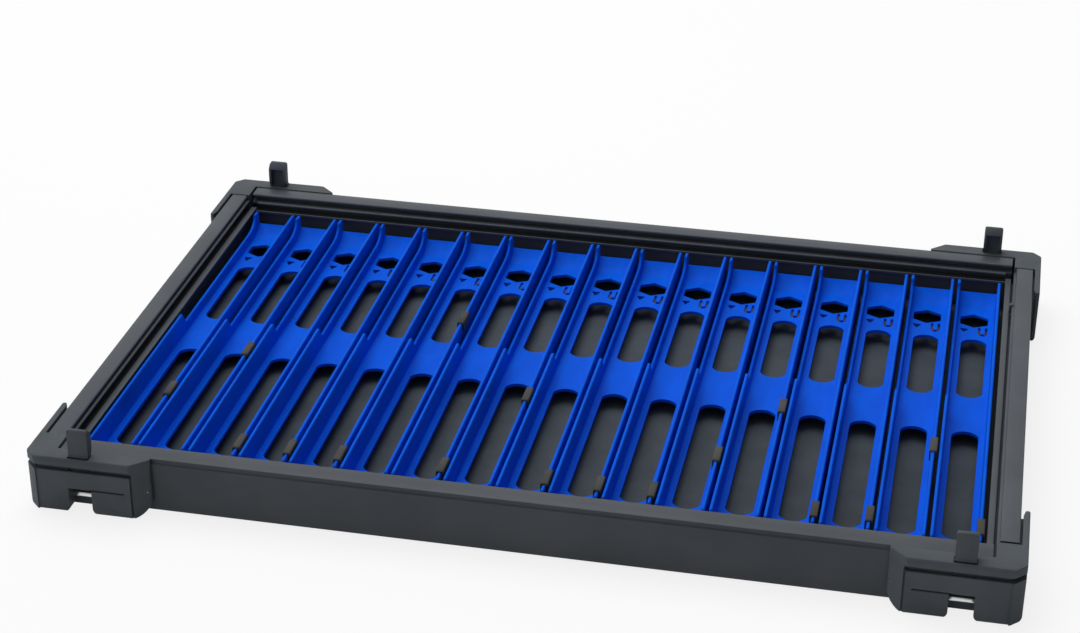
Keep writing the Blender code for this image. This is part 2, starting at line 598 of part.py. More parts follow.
def web_holes():
    """The web's two windows, hexagon and two small holes, seen from above."""
    end = WINDER_LENGTH / 2
    bridge_front = BRIDGE_OFFSET - BRIDGE_LENGTH / 2
    bridge_rear = BRIDGE_OFFSET + BRIDGE_LENGTH / 2
    front_window = window_outline(-end + FRONT_STRIP, bridge_front)
    rear_window = window_outline(bridge_rear, end - CATCH_SETBACK - REAR_STRIP)
    hexagon_y = end - HEX_SETBACK
    hexagon = [(HEX_WIDTH / 2, hexagon_y - HEX_LENGTH / 4), (HEX_WIDTH / 2, hexagon_y + HEX_LENGTH / 4),
               (0, hexagon_y + HEX_LENGTH / 2), (-HEX_WIDTH / 2, hexagon_y + HEX_LENGTH / 4),
               (-HEX_WIDTH / 2, hexagon_y - HEX_LENGTH / 4), (0, hexagon_y - HEX_LENGTH / 2)]
    catch_y = end - CATCH_SETBACK
    reach = NOTCH_HOLE_SIZE / 2
    three_sided = [(-CATCH_OFFSET - reach, catch_y + reach), (-CATCH_OFFSET, catch_y - reach),
                   (-CATCH_OFFSET + reach, catch_y + reach)]
    hole_half, tongue_half = TONGUE_HOLE_WIDTH / 2, TONGUE_WIDTH / 2
    hole_rear = catch_y + TONGUE_HOLE_LENGTH / 2
    hole_front = catch_y - TONGUE_HOLE_LENGTH / 2 + hole_half
    tongue = [(CATCH_OFFSET - hole_half, hole_rear)]
    tongue += arc((CATCH_OFFSET, hole_front), (hole_half, hole_half), 180, 360, HOLE_ARC_STEPS)
    tongue += [
        (CATCH_OFFSET + hole_half, hole_rear),
        (CATCH_OFFSET + tongue_half, hole_rear),
        (CATCH_OFFSET + tongue_half, hole_rear - TONGUE_LENGTH),
        (CATCH_OFFSET - tongue_half, hole_rear - TONGUE_LENGTH),
        (CATCH_OFFSET - tongue_half, hole_rear),
    ]
    return [front_window, rear_window, hexagon, three_sided, tongue]


def web_outline():
    """The web seen from the side: flat, with both ends curving up between the walls."""
    start = WINDER_LENGTH / 2 - LIP_LENGTH - CLEARANCE
    shares = [step / ARC_STEPS for step in range(ARC_STEPS + 1)]
    rear = [(start + LIP_LENGTH * share, WEB_TOP + LIP_RISE * share ** 2) for share in shares]
    upper = [(-along, up) for along, up in reversed(rear)] + rear
    lower = [(along, up - WEB_THICKNESS) for along, up in reversed(upper)]
    return upper + lower


def winder_mesh():
    """One winder at the middle of the tray."""
    half = WINDER_WIDTH / 2
    wall_middle = half - WINDER_WALL / 2
    web = extruded([web_outline()], "x", -wall_middle, wall_middle)
    right_wall = extruded([wall_outline(False)], "x", half - WINDER_WALL, half)
    left_wall = extruded([wall_outline(True)], "x", -half, WINDER_WALL - half)
    web_foot, web_head = WEB_TOP - WEB_THICKNESS - CUT_OVERRUN, WEB_TOP + CUT_OVERRUN
    holes = [extruded([outline], "z", web_foot, web_head) for outline in web_holes()]
    return combined(web, (right_wall, left_wall), holes)


def slider_mesh():
    """One slider, clipped over the right wall of a winder at the middle of the tray."""
    wall_outer = WINDER_WIDTH / 2
    wall_inner = wall_outer - WINDER_WALL
    inner, outer = wall_inner - CLEARANCE, wall_outer + CLEARANCE
    under, top = WINDER_TOP + CLEARANCE, WINDER_TOP + CLEARANCE + SLIDER_WALL
    inner_foot, outer_foot = WINDER_TOP - SLIDER_INNER_LEG, WINDER_TOP - SLIDER_OUTER_LEG
    profile = [
        (inner - SLIDER_WALL, inner_foot),
        (inner - SLIDER_WALL, top - SLIDER_EDGE),
        (inner - SLIDER_WALL + SLIDER_EDGE, top),
        (outer + SLIDER_WALL - SLIDER_EDGE, top),
        (outer + SLIDER_WALL, top - SLIDER_EDGE),
        (outer + SLIDER_WALL, outer_foot),
        (outer, outer_foot),
        (outer, under),
        (inner, under),
        (inner, inner_foot),
    ]
    return extruded([profile], "y", -SLIDER_LENGTH / 2, SLIDER_LENGTH / 2)


def make_winders(plastic, slider_plastic):
    winder = winder_mesh()
    slider = slider_mesh()
    for number in range(WINDER_COUNT):
        across = (number - (WINDER_COUNT - 1) / 2) * WINDER_PITCH
        place_share = SLIDER_PLACE_SHARES[number % len(SLIDER_PLACE_SHARES)]
        label = "%02d" % (number + 1)
        piece = place("winder_" + label, winder.copy(), plastic)
        piece.location.x = across
        piece = place("slider_" + label, slider.copy(), slider_plastic)
        piece.location = (across, place_share * WINDER_LENGTH / 2, 0)


def make_tray():
    aluminium = finish("grey_aluminium", (0.13, 0.13, 0.14), 0.38, 0.9)
    block_plastic = finish("slate_plastic", (0.048, 0.056, 0.066), 0.5)
    winder_plastic = finish("blue_plastic", (0.0, 0.075, 0.72), 0.4)
    slider_plastic = finish("grey_plastic", (0.085, 0.078, 0.075), 0.55)
    panel_plastic = finish("panel_plastic", (0.045, 0.052, 0.058), 0.6)
    steel = finish("bright_steel", (0.62, 0.62, 0.63), 0.2, 1.0)
    make_rails(aluminium)
    make_floor_panel(panel_plastic)
    make_corners(block_plastic, steel)
    make_winders(winder_plastic, slider_plastic)


empty_scene()
TRAY = new_collection("winder_tray")
GUIDES = new_collection("guides")
make_tray()
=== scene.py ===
"""The looks of a winder tray: its rails, corner blocks, hooks, winders, sliders and floor panel.

Metres, +Z up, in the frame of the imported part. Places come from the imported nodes. The sections
follow the part's own, with some sizes read again from the photo, and add finer edges and finishes.
"""

from math import acos, asin, atan2, cos, degrees, pi, radians, sin, sqrt, tan

import bmesh
import bpy
from mathutils import Matrix, Vector


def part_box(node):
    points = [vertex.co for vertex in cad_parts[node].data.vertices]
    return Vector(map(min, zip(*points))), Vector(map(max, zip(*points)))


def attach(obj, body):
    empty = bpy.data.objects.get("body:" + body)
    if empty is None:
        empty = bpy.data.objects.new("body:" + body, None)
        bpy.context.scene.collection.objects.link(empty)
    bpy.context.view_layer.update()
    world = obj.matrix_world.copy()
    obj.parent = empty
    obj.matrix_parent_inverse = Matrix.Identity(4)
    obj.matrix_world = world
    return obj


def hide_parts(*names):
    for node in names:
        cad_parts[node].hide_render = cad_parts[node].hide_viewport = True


# Camera, fitted to the straight edges of the frame
CAMERA_AZIMUTH = radians(11.693)
CAMERA_ELEVATION = radians(27.945)
CAMERA_ROLL = radians(0.273)
CAMERA_DISTANCE = 1.2142
CAMERA_AIM = (-0.02316, 0.02775)
CAMERA_LENS = 77.481
SENSOR_WIDTH = 36
CLIP_START = 0.05

# Light, with the directions over which one part of the surround turns into the next
SKY_BEHIND = 0.74
SKY_BEFORE = 0.46
SKY_TURN = (-0.6, 0.6)
SKY_LEFT = 0.25
LEFT_TURN = (0, 0.8)
RIGHT_SHADE = 0.85
RIGHT_TURN = (-0.1, 0.6)
WHITE_STRENGTH = 0.985
WHITE_TURN = (-0.3, 0.1)
KEY_PLACE = (-0.3, 0.5, 1.4)
KEY_SIZE = 1.2
KEY_POWER = 14
FLOOR_COLOUR = (0.90, 0.90, 0.905)
FLOOR_ROUGHNESS = 0.9
FLOOR_GLOW = 1.0
FLOOR_GLOW_SHARE = 0.82
FLOOR_SIZE = 12
FLOOR_GAP = 0.0002

# Colours, each from its darker to its lighter patches
RAIL_DARK = (0.064, 0.072, 0.083)
RAIL_LIGHT = (0.083, 0.091, 0.103)
# Painted shade: the front rail's colours are the other rails' anodised grey made darker, for the weaker
# light on its top
FRONT_PAINTED_SHADE_DARK = (0.055, 0.062, 0.071)
FRONT_PAINTED_SHADE_LIGHT = (0.071, 0.078, 0.088)
BLOCK_DARK = (0.067, 0.077, 0.087)
BLOCK_LIGHT = (0.082, 0.093, 0.104)
PANEL_DARK = (0.054, 0.066, 0.075)
PANEL_LIGHT = (0.069, 0.082, 0.092)
WINDER_DARK = (0.0015, 0.090, 0.64)
WINDER_LIGHT = (0.0015, 0.110, 0.74)
SLIDER_DARK = (0.042, 0.042, 0.042)
SLIDER_LIGHT = (0.068, 0.066, 0.064)
STEEL_DARK = (0.60, 0.60, 0.61)
STEEL_LIGHT = (0.78, 0.78, 0.79)

# Patterns, in patches to the metre, and how far they are drawn out along a piece
PATCH_EDGE = (0.3, 0.7)
RAIL_CLOUD = 26
DIE_LINES = 2600
DIE_LINE_STRETCH = 0.02
DIE_LINE_SHARE = 0.35
MOULD_CLOUD = 60
BLOCK_GRAIN = 2600
PANEL_GRAIN = 1500
SLIDER_GRAIN = 3000
FLOW_MARKS = 160
FLOW_STRETCH = 0.25
FLOW_EDGE = (0.25, 0.75)
WINDER_GRAIN = 1800
STEEL_LINES = 3000
STEEL_STRETCH = 0.05

# Gloss and relief
DULL_GLOSS = 0.1
WINDER_GLOSS = 0.02
RAIL_METAL = 0.1
RAIL_ROUGHNESS = 0.30
BLOCK_ROUGHNESS = 0.46
DULL_ROUGHNESS = 0.5
WINDER_ROUGHNESS = 0.34
STEEL_ROUGHNESS = 0.16
LINE_RELIEF = 0.00002
GRAIN_RELIEF = 0.00004

# Working values
OVERRUN = 0.003
TINY = 0.00001
CORNER_STEPS = 3
ARC_STEPS = 8
LIP_STEPS = 6
STATION_STEPS = 8
STATION_GAP = TINY * 5
BEVEL_SEGMENTS = 2
SMOOTH_ANGLE = radians(40)
BEVEL_ANGLE = radians(55)
ROUND_SIDES = 32
CLEARANCE = 0.0003

# Winders
WINDER_WALL = 0.0016
WALL_CORNER = 0.0014
WALL_ROUND = 0.0006
WEB_FILLET = 0.0008
FOOT_ROUND = 0.0003
LOW_WALL_DROP = 0.0065
LOW_WALL_STEP = 0.0048
HORN_LENGTH = 0.0055
HORN_SWEEP = 0.0125
WEB_DROP = 0.0125
WEB_THICKNESS = 0.0016
LIP_LENGTH = 0.0125
LIP_RISE = 0.005
BRIDGE_LENGTH = 0.034
BRIDGE_OFFSET = 0.004
WINDOW_MARGIN = 0.0033
WINDOW_BOW = 0.0044
WINDOW_CORNER = 0.0012
WINDOW_STEPS = 10
FRONT_STRIP = 0.018
REAR_STRIP = 0.0093
HEX_WIDTH = 0.0147
HEX_LENGTH = 0.0156
HEX_SETBACK = 0.0245
CATCH_SETBACK = 0.0364
CATCH_OFFSET = 0.0049
HOLES_SHIFT = 0.0008
NOTCH_HOLE_SIZE = 0.0048
TONGUE_HOLE_WIDTH = 0.0050
TONGUE_HOLE_LENGTH = 0.0096
TONGUE_WIDTH = 0.0022
TONGUE_LENGTH = 0.0074
HOLE_EDGE = 0.00022

# Sliders
SLIDER_WALL = 0.0007
SLIDER_ROUND = 0.0005
SLIDER_FINE = 0.0002
SLIDER_LEG_STEP = 0.001
SLIDER_END = ((0.0, 0.0005), (0.0003, 0.0002), (0.0008, 0.0))

# Rails, measured inwards from the outer face and down from the top
PLATE_WIDTH = 0.010
REAR_BAND_WIDTH = 0.0094
SIDE_BAND_WIDTH = 0.0089
FRONT_BAND_WIDTH = 0.0109
BAND_LIP = 0.0013
RAIL_WALL = 0.0018
HOLLOW_WIDTH = 0.0030
GROOVE_DEPTH = 0.0096
RECESS_START = 0.0058
LEDGE_START = 0.0136
SIDE_LEDGE_START = 0.0112
LEDGE_REACH = 0.0143
LEDGE_DROP = 0.0080
SIDE_LEDGE_DROP = 0.0068
LEDGE_THICKNESS = 0.0015
LEDGE_OVERHANG = 0.0020
BEAD_DROP = 0.0041
SIDE_BEAD_DROP = 0.0028
BEAD_HEIGHT = 0.0014
BEAD_REACH = 0.0117
SIDE_BEAD_REACH = 0.0101
BEAD_ROUND = 0.0006
TOP_ROUND = 0.0005
BAND_EDGE = 0.0009
BAND_ROUND = 0.0004
END_JOINT = 0.0008
RIGHT_SEAM = 0.0016
CHANNEL_DROP = 0.0014
CHANNEL_HEIGHT = 0.0009
CHANNEL_DEPTH = 0.0007
BOTTOM_LIP = 0.0008
SLOT_HEIGHT = 0.0020
SLOT_DEPTH = 0.0033

# The plug in the right rail's groove
PLUG_Y = 0.0985
PLUG_WIDTH = 0.0020
PLUG_LENGTH = 0.0030
PLUG_HEIGHT = 0.0050
PLUG_DROP = 0.0020

# Corner blocks
LONG_WING = 0.0600
SIDE_WING = 0.0505
CORNER_BEVEL = 0.0055
WING_NOSE_LENGTH = 0.0080
WING_NOSE_EDGE = 0.0022
NOSE_ROUND = 0.0014
NOSE_TURN = 0.0024
NOSE_RELIEF = 0.0009
PLATE_DEPTH = 0.0120
SLIT_WIDTH = 0.0010
SLIT_DEPTH = 0.0040
SLIT_GAP = 0.0001
SIDE_TAPER = 0.0008
SIDE_TAPER_LENGTH = 0.0040
PLAN_ROUND = 0.0009
CORNER_ROUND = 0.0020
FINE_ROUND = 0.0003
SIDE_ROUND = 0.0006
LIP_DEPTH = 0.0017
NOSE_DEPTH = 0.0009
LIP_FALL = 0.0036
FOOT_ROUNDING = 0.0012
SIDE_GROOVE = 0.0007
LIP_HEIGHT = 0.0041
LIP_EDGE = 0.0004
UNDERCUT_HEIGHT = 0.0028
UNDERCUT_DEPTH = 0.0030
SIDE_GROOVE_DEPTH = 0.0020
PANEL_DEPTH = 0.0007
PANEL_EDGE = 0.0005
PANEL_START = 0.0071
PANEL_END = 0.0058
FOOT_CURVE = 0.0080
FOOT_CORNER = 0.0025
MOUTH_CURVE = 0.0030
NOTCH_SETBACK = 0.02685
NOTCH_WIDTH = 0.0113
NOTCH_HEIGHT = 0.0130
CHAMBER_HEIGHT = 0.0156
CHAMBER_WALL = 0.0014
CRACK_LENGTH = 0.0165
CRACK_RISE = 0.0005
CRACK_HEIGHT = 0.0008
CRACK_DEPTH = 0.0016
CRACK_EDGE = 0.0006
NOTCH_EDGE = 0.0004

# Hooks, bars and pins
HOOK_WIDTH = 0.0098
HOOK_THICKNESS = 0.0024
HOOK_HEIGHT = 0.0146
HOOK_SETBACK = 0.0044
HOOK_NOSE_REACH = 0.0028
HOOK_NOSE_FACE = 0.0036
HOOK_NOSE_SLOPE = 0.0016
HOOK_NOSE_LEAN = 0.0032
HOOK_RIB = 0.0014
HOOK_RIB_RISE = 0.0045
HOOK_ROUND = 0.0008
HOOK_CORNER = 0.0016
HOOK_EDGE = 0.00018
SKIRT_REACH = 0.0009
SKIRT_RISE = 0.0020
SKIRT_EDGE = 0.0005
SKIRT_GAP = 0.0004
HOOK_TOP_ROUND = 0.0012
HOOK_TRAVEL = radians(8)
PIVOT_DROP = 0.0090
ROOT_RADIUS = 0.0020
PIN_EDGE = 0.0003

CORNERS = {"rear_right": (1, 1), "rear_left": (-1, 1), "front_right": (1, -1), "front_left": (-1, -1)}
ORIENTATIONS = {
    "x": Matrix(((0, 0, 1), (1, 0, 0), (0, 1, 0))),
    "y": Matrix(((1, 0, 0), (0, 0, -1), (0, 1, 0))),
    "z": Matrix.Identity(3),
}
DIRECTIONS = {"x": Vector((1, 0, 0)), "y": Vector((0, 1, 0)), "z": Vector((0, 0, 1))}


class Wire:
    """An output socket of a material. Arithmetic on it adds the Math nodes that work it out."""

    def __init__(self, finish, socket):
        self.finish = finish
        self.socket = socket

    def maths(self, operation, first, second=0.0):
        return self.finish.node("ShaderNodeMath", {"operation": operation}, {0: first, 1: second})

    def __add__(self, other):
        return self.maths("ADD", self, other)

    __radd__ = __add__

    def __rsub__(self, other):
        return self.maths("SUBTRACT", other, self)

    def __mul__(self, other):
        return self.maths("MULTIPLY", self, other)

    __rmul__ = __mul__

    def between(self, low, high):
        """0 below low and 1 above high, smooth between them."""
        return self.finish.node("ShaderNodeMapRange", {"interpolation_type": "SMOOTHSTEP"},
                                {"Value": self, "From Min": low, "From Max": high})


class Shading:
    """The nodes of a material or of the world."""

    def __init__(self, tree):
        self.tree = tree

    def node(self, kind, settings=None, sockets=None, output=0):
        made = self.tree.nodes.new(kind)
        for name, value in (settings or {}).items():
            setattr(made, name, value)
        for name, value in (sockets or {}).items():
            self.feed(made.inputs[name], value)
        return Wire(self, made.outputs[output])

    def feed(self, socket, value):
        if isinstance(value, Wire):
            self.tree.links.new(value.socket, socket)
        else:
            socket.default_value = value


class Finish(Shading):
    """A material built round one Principled shader."""

    def __init__(self, name, **settings):
        self.material = bpy.data.materials.new(name)
        self.material.use_nodes = True
        super().__init__(self.material.node_tree)
        self.shader = self.tree.nodes["Principled BSDF"]
        self.place = self.node("ShaderNodeTexCoord", output="Object")
        for name, value in settings.items():
            self.feed(self.shader.inputs[name.replace("_", " ")], value)

    def spot(self, stretch=(1, 1, 1)):
        """The place on the piece, with its axes stretched."""
        return self.node("ShaderNodeVectorMath", {"operation": "MULTIPLY"}, {0: self.place, 1: stretch})

    def noise(self, scale, detail=3.0, stretch=(1, 1, 1)):
        return self.node("ShaderNodeTexNoise", {},
                         {"Vector": self.spot(stretch), "Scale": scale, "Detail": detail})

    def cells(self, scale):
        """Distance to the nearest of many points, for a moulded grain."""
        return self.node("ShaderNodeTexVoronoi", {}, {"Vector": self.place, "Scale": scale})

    def blend(self, share, first, second):
        """One colour turning into another."""
        return self.node("ShaderNodeMix", {"data_type": "RGBA"},
                         {"Factor": share, 6: (*first, 1), 7: (*second, 1)}, output=2)

    def bump(self, height, distance):
        normal = self.node("ShaderNodeBump", {}, {"Height": height, "Distance": distance})
        self.feed(self.shader.inputs["Normal"], normal)

    def colour(self, wire):
        self.feed(self.shader.inputs["Base Color"], wire)

    def roughness(self, wire):
        self.feed(self.shader.inputs["Roughness"], wire)


def anodised_finish(name, along, dark, light):
    """Dark anodised aluminium with die lines along the extrusion."""
    finish = Finish(name, Metallic=RAIL_METAL, Specular_IOR_Level=DULL_GLOSS)
    stretch = (DIE_LINE_STRETCH, 1, 1) if along == "x" else (1, DIE_LINE_STRETCH, 1)
    lines = finish.noise(DIE_LINES, 2.0, stretch)
    cloud = finish.noise(RAIL_CLOUD)
    tone = lines.between(*PATCH_EDGE) * DIE_LINE_SHARE + cloud.between(*PATCH_EDGE) * (1 - DIE_LINE_SHARE)
    finish.colour(finish.blend(tone, dark, light))
    finish.roughness(RAIL_ROUGHNESS + 0.10 * lines + 0.05 * cloud)
    finish.bump(lines, LINE_RELIEF)
    return finish.material


def moulded_finish(name, dark, light, grain, roughness):
    """Dull plastic with a spark-eroded grain."""
    finish = Finish(name, Specular_IOR_Level=DULL_GLOSS)
    cloud = finish.noise(MOULD_CLOUD, 4.0)
    grains = finish.cells(grain)
    finish.colour(finish.blend(cloud.between(*PATCH_EDGE), dark, light))
    finish.roughness(roughness + 0.10 * cloud + 0.08 * grains)
    finish.bump(grains, GRAIN_RELIEF)
    return finish.material


def winder_finish():
    """Bright blue plastic with faint flow marks along the winder."""
    finish = Finish("winder_blue", Specular_IOR_Level=WINDER_GLOSS)
    flow = finish.noise(FLOW_MARKS, stretch=(1, FLOW_STRETCH, 1))
    fine = finish.noise(WINDER_GRAIN, 2.0)
    finish.colour(finish.blend(flow.between(*FLOW_EDGE), WINDER_DARK, WINDER_LIGHT))
    finish.roughness(WINDER_ROUGHNESS + 0.10 * flow + 0.05 * fine)
    finish.bump(fine, LINE_RELIEF)
    return finish.material


def steel_finish():
    """Bright drawn steel, with its lines along the bars."""
    finish = Finish("pin_steel", Metallic=1.0)
    lines = finish.noise(STEEL_LINES, 2.0, (STEEL_STRETCH, 1, 1))
    finish.colour(finish.blend(lines, STEEL_DARK, STEEL_LIGHT))
    finish.roughness(STEEL_ROUGHNESS + 0.14 * lines)
    return finish.material


def guide(name, data):
    """An object that only helps to make a piece."""
    helper = bpy.data.objects.new(name, data)
    bpy.context.scene.collection.objects.link(helper)
    return helper


def settled(helper):
    """The helper's mesh with its modifiers, welded, in world space. The helper is removed."""
    bpy.context.view_layer.update()
    depsgraph = bpy.context.evaluated_depsgraph_get()
    mesh = bpy.data.meshes.new_from_object(helper.evaluated_get(depsgraph))
    mesh.transform(helper.matrix_world)
    bpy.data.objects.remove(helper)
    shape = bmesh.new()
    shape.from_mesh(mesh)
    bmesh.ops.remove_doubles(shape, verts=shape.verts, dist=TINY)
    bmesh.ops.recalc_face_normals(shape, faces=shape.faces)
    shape.to_mesh(mesh)
    shape.free()
    return mesh


def arc(centre, radii, start, stop, steps=ARC_STEPS):
    """Points along part of an ellipse, between two angles in degrees."""
    angles = [radians(start + (stop - start) * step / steps) for step in range(steps + 1)]
    return [(centre[0] + radii[0] * cos(angle), centre[1] + radii[1] * sin(angle)) for angle in angles]


def rounded(corners, steps=CORNER_STEPS):
    """An outline from corners, each (across, up, radius), with each corner rounded."""
    points = []
    for number, (across, up, radius) in enumerate(corners):
        corner = Vector((across, up))
        if not radius:
            points.append((across, up))
            continue
        back = (Vector(corners[number - 1][:2]) - corner).normalized()
        ahead = (Vector(corners[(number + 1) % len(corners)][:2]) - corner).normalized()
        half = acos(max(-1, min(1, back.dot(ahead)))) / 2
        centre = corner + (back + ahead).normalized() * radius / sin(half)
        start = corner + back * radius / tan(half) - centre
        stop = corner + ahead * radius / tan(half) - centre
        first = atan2(start.y, start.x)
        turn = (atan2(stop.y, stop.x) - first + pi) % (2 * pi) - pi
        for step in range(steps + 1):
            angle = first + turn * step / steps
            points.append((centre.x + radius * cos(angle), centre.y + radius * sin(angle)))
    return points


def extruded(outlines, axis, low, high):
    """A flat outline, with any holes in it, carried along an axis from low to high."""
    curve = bpy.data.curves.new("outline", "CURVE")
    curve.dimensions = "2D"
    curve.fill_mode = "BOTH"
    curve.extrude = (high - low) / 2
    for outline in outlines:
        spline = curve.splines.new("POLY")
        spline.points.add(len(outline) - 1)
        for point, (across, up) in zip(spline.points, outline):
            point.co = (across, up, 0, 1)
        spline.use_cyclic_u = True
    helper = guide("outline", curve)
    middle = DIRECTIONS[axis] * (low + high) / 2
    helper.matrix_world = Matrix.Translation(middle) @ ORIENTATIONS[axis].to_4x4()
    return settled(helper)


def lofted(sections):
    """A closed solid through sections that have the same number of points."""
    shape = bmesh.new()
    rings = [[shape.verts.new(point) for point in section] for section in sections]
    for ring, following in zip(rings, rings[1:]):
        for number in range(len(ring)):
            behind = number - 1
            shape.faces.new((ring[behind], ring[number], following[number], following[behind]))
    shape.faces.new(rings[0])
    shape.faces.new(rings[-1])
    bmesh.ops.recalc_face_normals(shape, faces=shape.faces)
    mesh = bpy.data.meshes.new("loft")
    shape.to_mesh(mesh)
    shape.free()
    return mesh


def bar_mesh(radius, centre, length):
    """A round bar along X with softened ends."""
    half = length / 2
    end = [(half, radius - PIN_EDGE), (half - PIN_EDGE / 3, radius - PIN_EDGE / 3),
           (half - PIN_EDGE, radius)]
    rings = [(-along, size) for along, size in end] + end[::-1]
    turn = Matrix.Translation(centre) @ ORIENTATIONS["x"].to_4x4()
    sections = []
    for along, size in rings:
        sections.append([turn @ Vector((size * cos(2 * pi * side / ROUND_SIDES),
                                        size * sin(2 * pi * side / ROUND_SIDES), along))
                         for side in range(ROUND_SIDES)])
    return lofted(sections)


def block_between(low, high):
    """A box between two corners."""
    size = Vector(high) - Vector(low)
    middle = (Vector(high) + Vector(low)) / 2
    shape = bmesh.new()
    bmesh.ops.create_cube(shape, size=1, matrix=Matrix.LocRotScale(middle, None, size))
    mesh = bpy.data.meshes.new("box")
    shape.to_mesh(mesh)
    shape.free()
    return mesh


def combined(base, added=(), removed=()):
    """The base mesh with other meshes joined to it and cut out of it."""
    target = guide("target", base)
    helpers = []
    for operation, meshes in (("UNION", added), ("DIFFERENCE", removed)):
        for mesh in meshes:
            helper = guide("tool", mesh)
            helpers.append(helper)
            step = target.modifiers.new(operation, "BOOLEAN")
            step.operation = operation
            step.solver = "EXACT"
            step.object = helper
    result = settled(target)
    for helper in helpers:
        bpy.data.objects.remove(helper)
    return result


def edged(mesh, width):
    """The mesh with its sharp edges rounded."""
    helper = guide("edged", mesh)
    step = helper.modifiers.new("edges", "BEVEL")
    step.width = width
    step.segments = BEVEL_SEGMENTS
    step.limit_method = "ANGLE"
    step.angle_limit = BEVEL_ANGLE
    step.miter_outer = "MITER_ARC"
    return settled(helper)


def mirrored(mesh, side, end):
    """A copy of a rear right piece's mesh for the corner at the given side and end."""
    copy = mesh.copy()
    copy.transform(Matrix.Diagonal((side, end, 1, 1)))
    if side * end < 0:
        copy.flip_normals()
    return copy


def piece(name, mesh, body, finish, replaced=None, place=(0, 0, 0)):
    """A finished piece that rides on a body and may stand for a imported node."""
    mesh.name = name
    mesh.transform(Matrix.Translation(place))
    mesh.shade_smooth()
    mesh.set_sharp_from_angle(angle=SMOOTH_ANGLE)
    mesh.materials.clear()
    mesh.materials.append(finish)
    made = bpy.data.objects.new(name, mesh)
    bpy.context.scene.collection.objects.link(made)
    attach(made, body)
    if replaced:
        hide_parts(replaced)
    return made


def rail_section(band_width, bead_drop, bead_reach, ledge_start, ledge_drop):
    """A rail's section: distance inwards from its outer face, and height from its top.

    A channel runs just under the outer top edge. The groove between the band and the ledge holds a bead.
    """
    channel_foot = -CHANNEL_DROP - CHANNEL_HEIGHT
    bead_foot = -bead_drop - BEAD_HEIGHT
    slot_foot = -RAIL_HEIGHT + BOTTOM_LIP
    slot_top = slot_foot + SLOT_HEIGHT
    inner_wall = LEDGE_REACH - LEDGE_OVERHANG
    fine = BAND_ROUND / 2
    return rounded([
        (0, -RAIL_HEIGHT, BAND_ROUND),
        (0, channel_foot - CHANNEL_DEPTH, fine),
        (CHANNEL_DEPTH, channel_foot, fine),
        (CHANNEL_DEPTH, -CHANNEL_DROP, fine),
        (0, -CHANNEL_DROP + CHANNEL_DEPTH, fine),
        (0, 0, TOP_ROUND),
        (band_width, 0, BAND_EDGE),
        (band_width, -BAND_LIP, fine),
        (RECESS_START, -BAND_LIP, fine),
        (RECESS_START, -bead_drop, fine),
        (bead_reach, -bead_drop, BEAD_ROUND),
        (bead_reach, bead_foot, BEAD_ROUND),
        (RECESS_START, bead_foot, fine),
        (RECESS_START, -GROOVE_DEPTH, fine),
        (ledge_start, -GROOVE_DEPTH, fine),
        (ledge_start, -ledge_drop, fine),
        (LEDGE_REACH, -ledge_drop, fine),
        (LEDGE_REACH, -ledge_drop - LEDGE_THICKNESS, fine),
        (inner_wall, -ledge_drop - LEDGE_THICKNESS, 0),
        (inner_wall, slot_top, 0),
        (inner_wall - SLOT_DEPTH, slot_top, 0),
        (inner_wall - SLOT_DEPTH, slot_foot, 0),
        (inner_wall, slot_foot, 0),
        (inner_wall, -RAIL_HEIGHT, BAND_ROUND),
    ])


def rail_hollow():
    """The hollow along a rail that takes the corner blocks' tenons."""
    foot = -RAIL_HEIGHT + BOTTOM_LIP + SLOT_HEIGHT + RAIL_WALL
    inner = RAIL_WALL + HOLLOW_WIDTH
    return [(RAIL_WALL, -RAIL_WALL), (RAIL_WALL, foot), (inner, foot), (inner, -RAIL_WALL)]


def make_rails():
    """The four extrusions. The long ones' ledges are cut short, to clear the side ones."""
    rear_finish = anodised_finish("rear_rail_grey", "x", RAIL_DARK, RAIL_LIGHT)
    # The front rail's finish is the same anodised grey painted darker, as painted shade
    front_painted_shade_finish = anodised_finish("front_rail_painted_shade_grey", "x", FRONT_PAINTED_SHADE_DARK, FRONT_PAINTED_SHADE_LIGHT)
    side_finish = anodised_finish("side_rail_grey", "y", RAIL_DARK, RAIL_LIGHT)
    side_section = rail_section(SIDE_BAND_WIDTH, SIDE_BEAD_DROP, SIDE_BEAD_REACH, SIDE_LEDGE_START,
                                SIDE_LEDGE_DROP)
    for side, name, seam in ((1, "right_rail", RIGHT_SEAM), (-1, "left_rail", 0)):
        low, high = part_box(name)
        outlines = [[(side * (HALF_WIDTH - inwards), RAIL_TOP + up) for inwards, up in outline]
                    for outline in (side_section, rail_hollow())]
        rail = extruded(outlines, "y", low.y + seam, high.y)
        piece(name + "_extrusion", rail, "frame", side_finish, name)
    for end, name, band_width, finish in ((1, "rear_rail", REAR_BAND_WIDTH, rear_finish),
                                          (-1, "front_rail", FRONT_BAND_WIDTH, front_painted_shade_finish)):
        low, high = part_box(name)
        section = rail_section(band_width, BEAD_DROP, BEAD_REACH, LEDGE_START, LEDGE_DROP)
        outlines = [[(end * (HALF_DEPTH - inwards), RAIL_TOP + up) for inwards, up in outline]
                    for outline in (section, rail_hollow())]
        rail = extruded(outlines, "x", low.x + END_JOINT, high.x - END_JOINT)
        trims = []
        for side in (-1, 1):
            ledge_end = side * (HALF_WIDTH - LEDGE_REACH - CLEARANCE)
            past_end = side * (HALF_WIDTH + OVERRUN)
            root = end * (HALF_DEPTH - PLATE_WIDTH - CLEARANCE)
            past_ledge = end * (HALF_DEPTH - LEDGE_REACH - OVERRUN)
            trims.append(block_between(
                (min(ledge_end, past_end), min(root, past_ledge), -OVERRUN),
                (max(ledge_end, past_end), max(root, past_ledge), RAIL_TOP + OVERRUN)))
        rail = combined(rail, removed=trims)
        piece(name + "_extrusion", rail, "frame", finish, name)


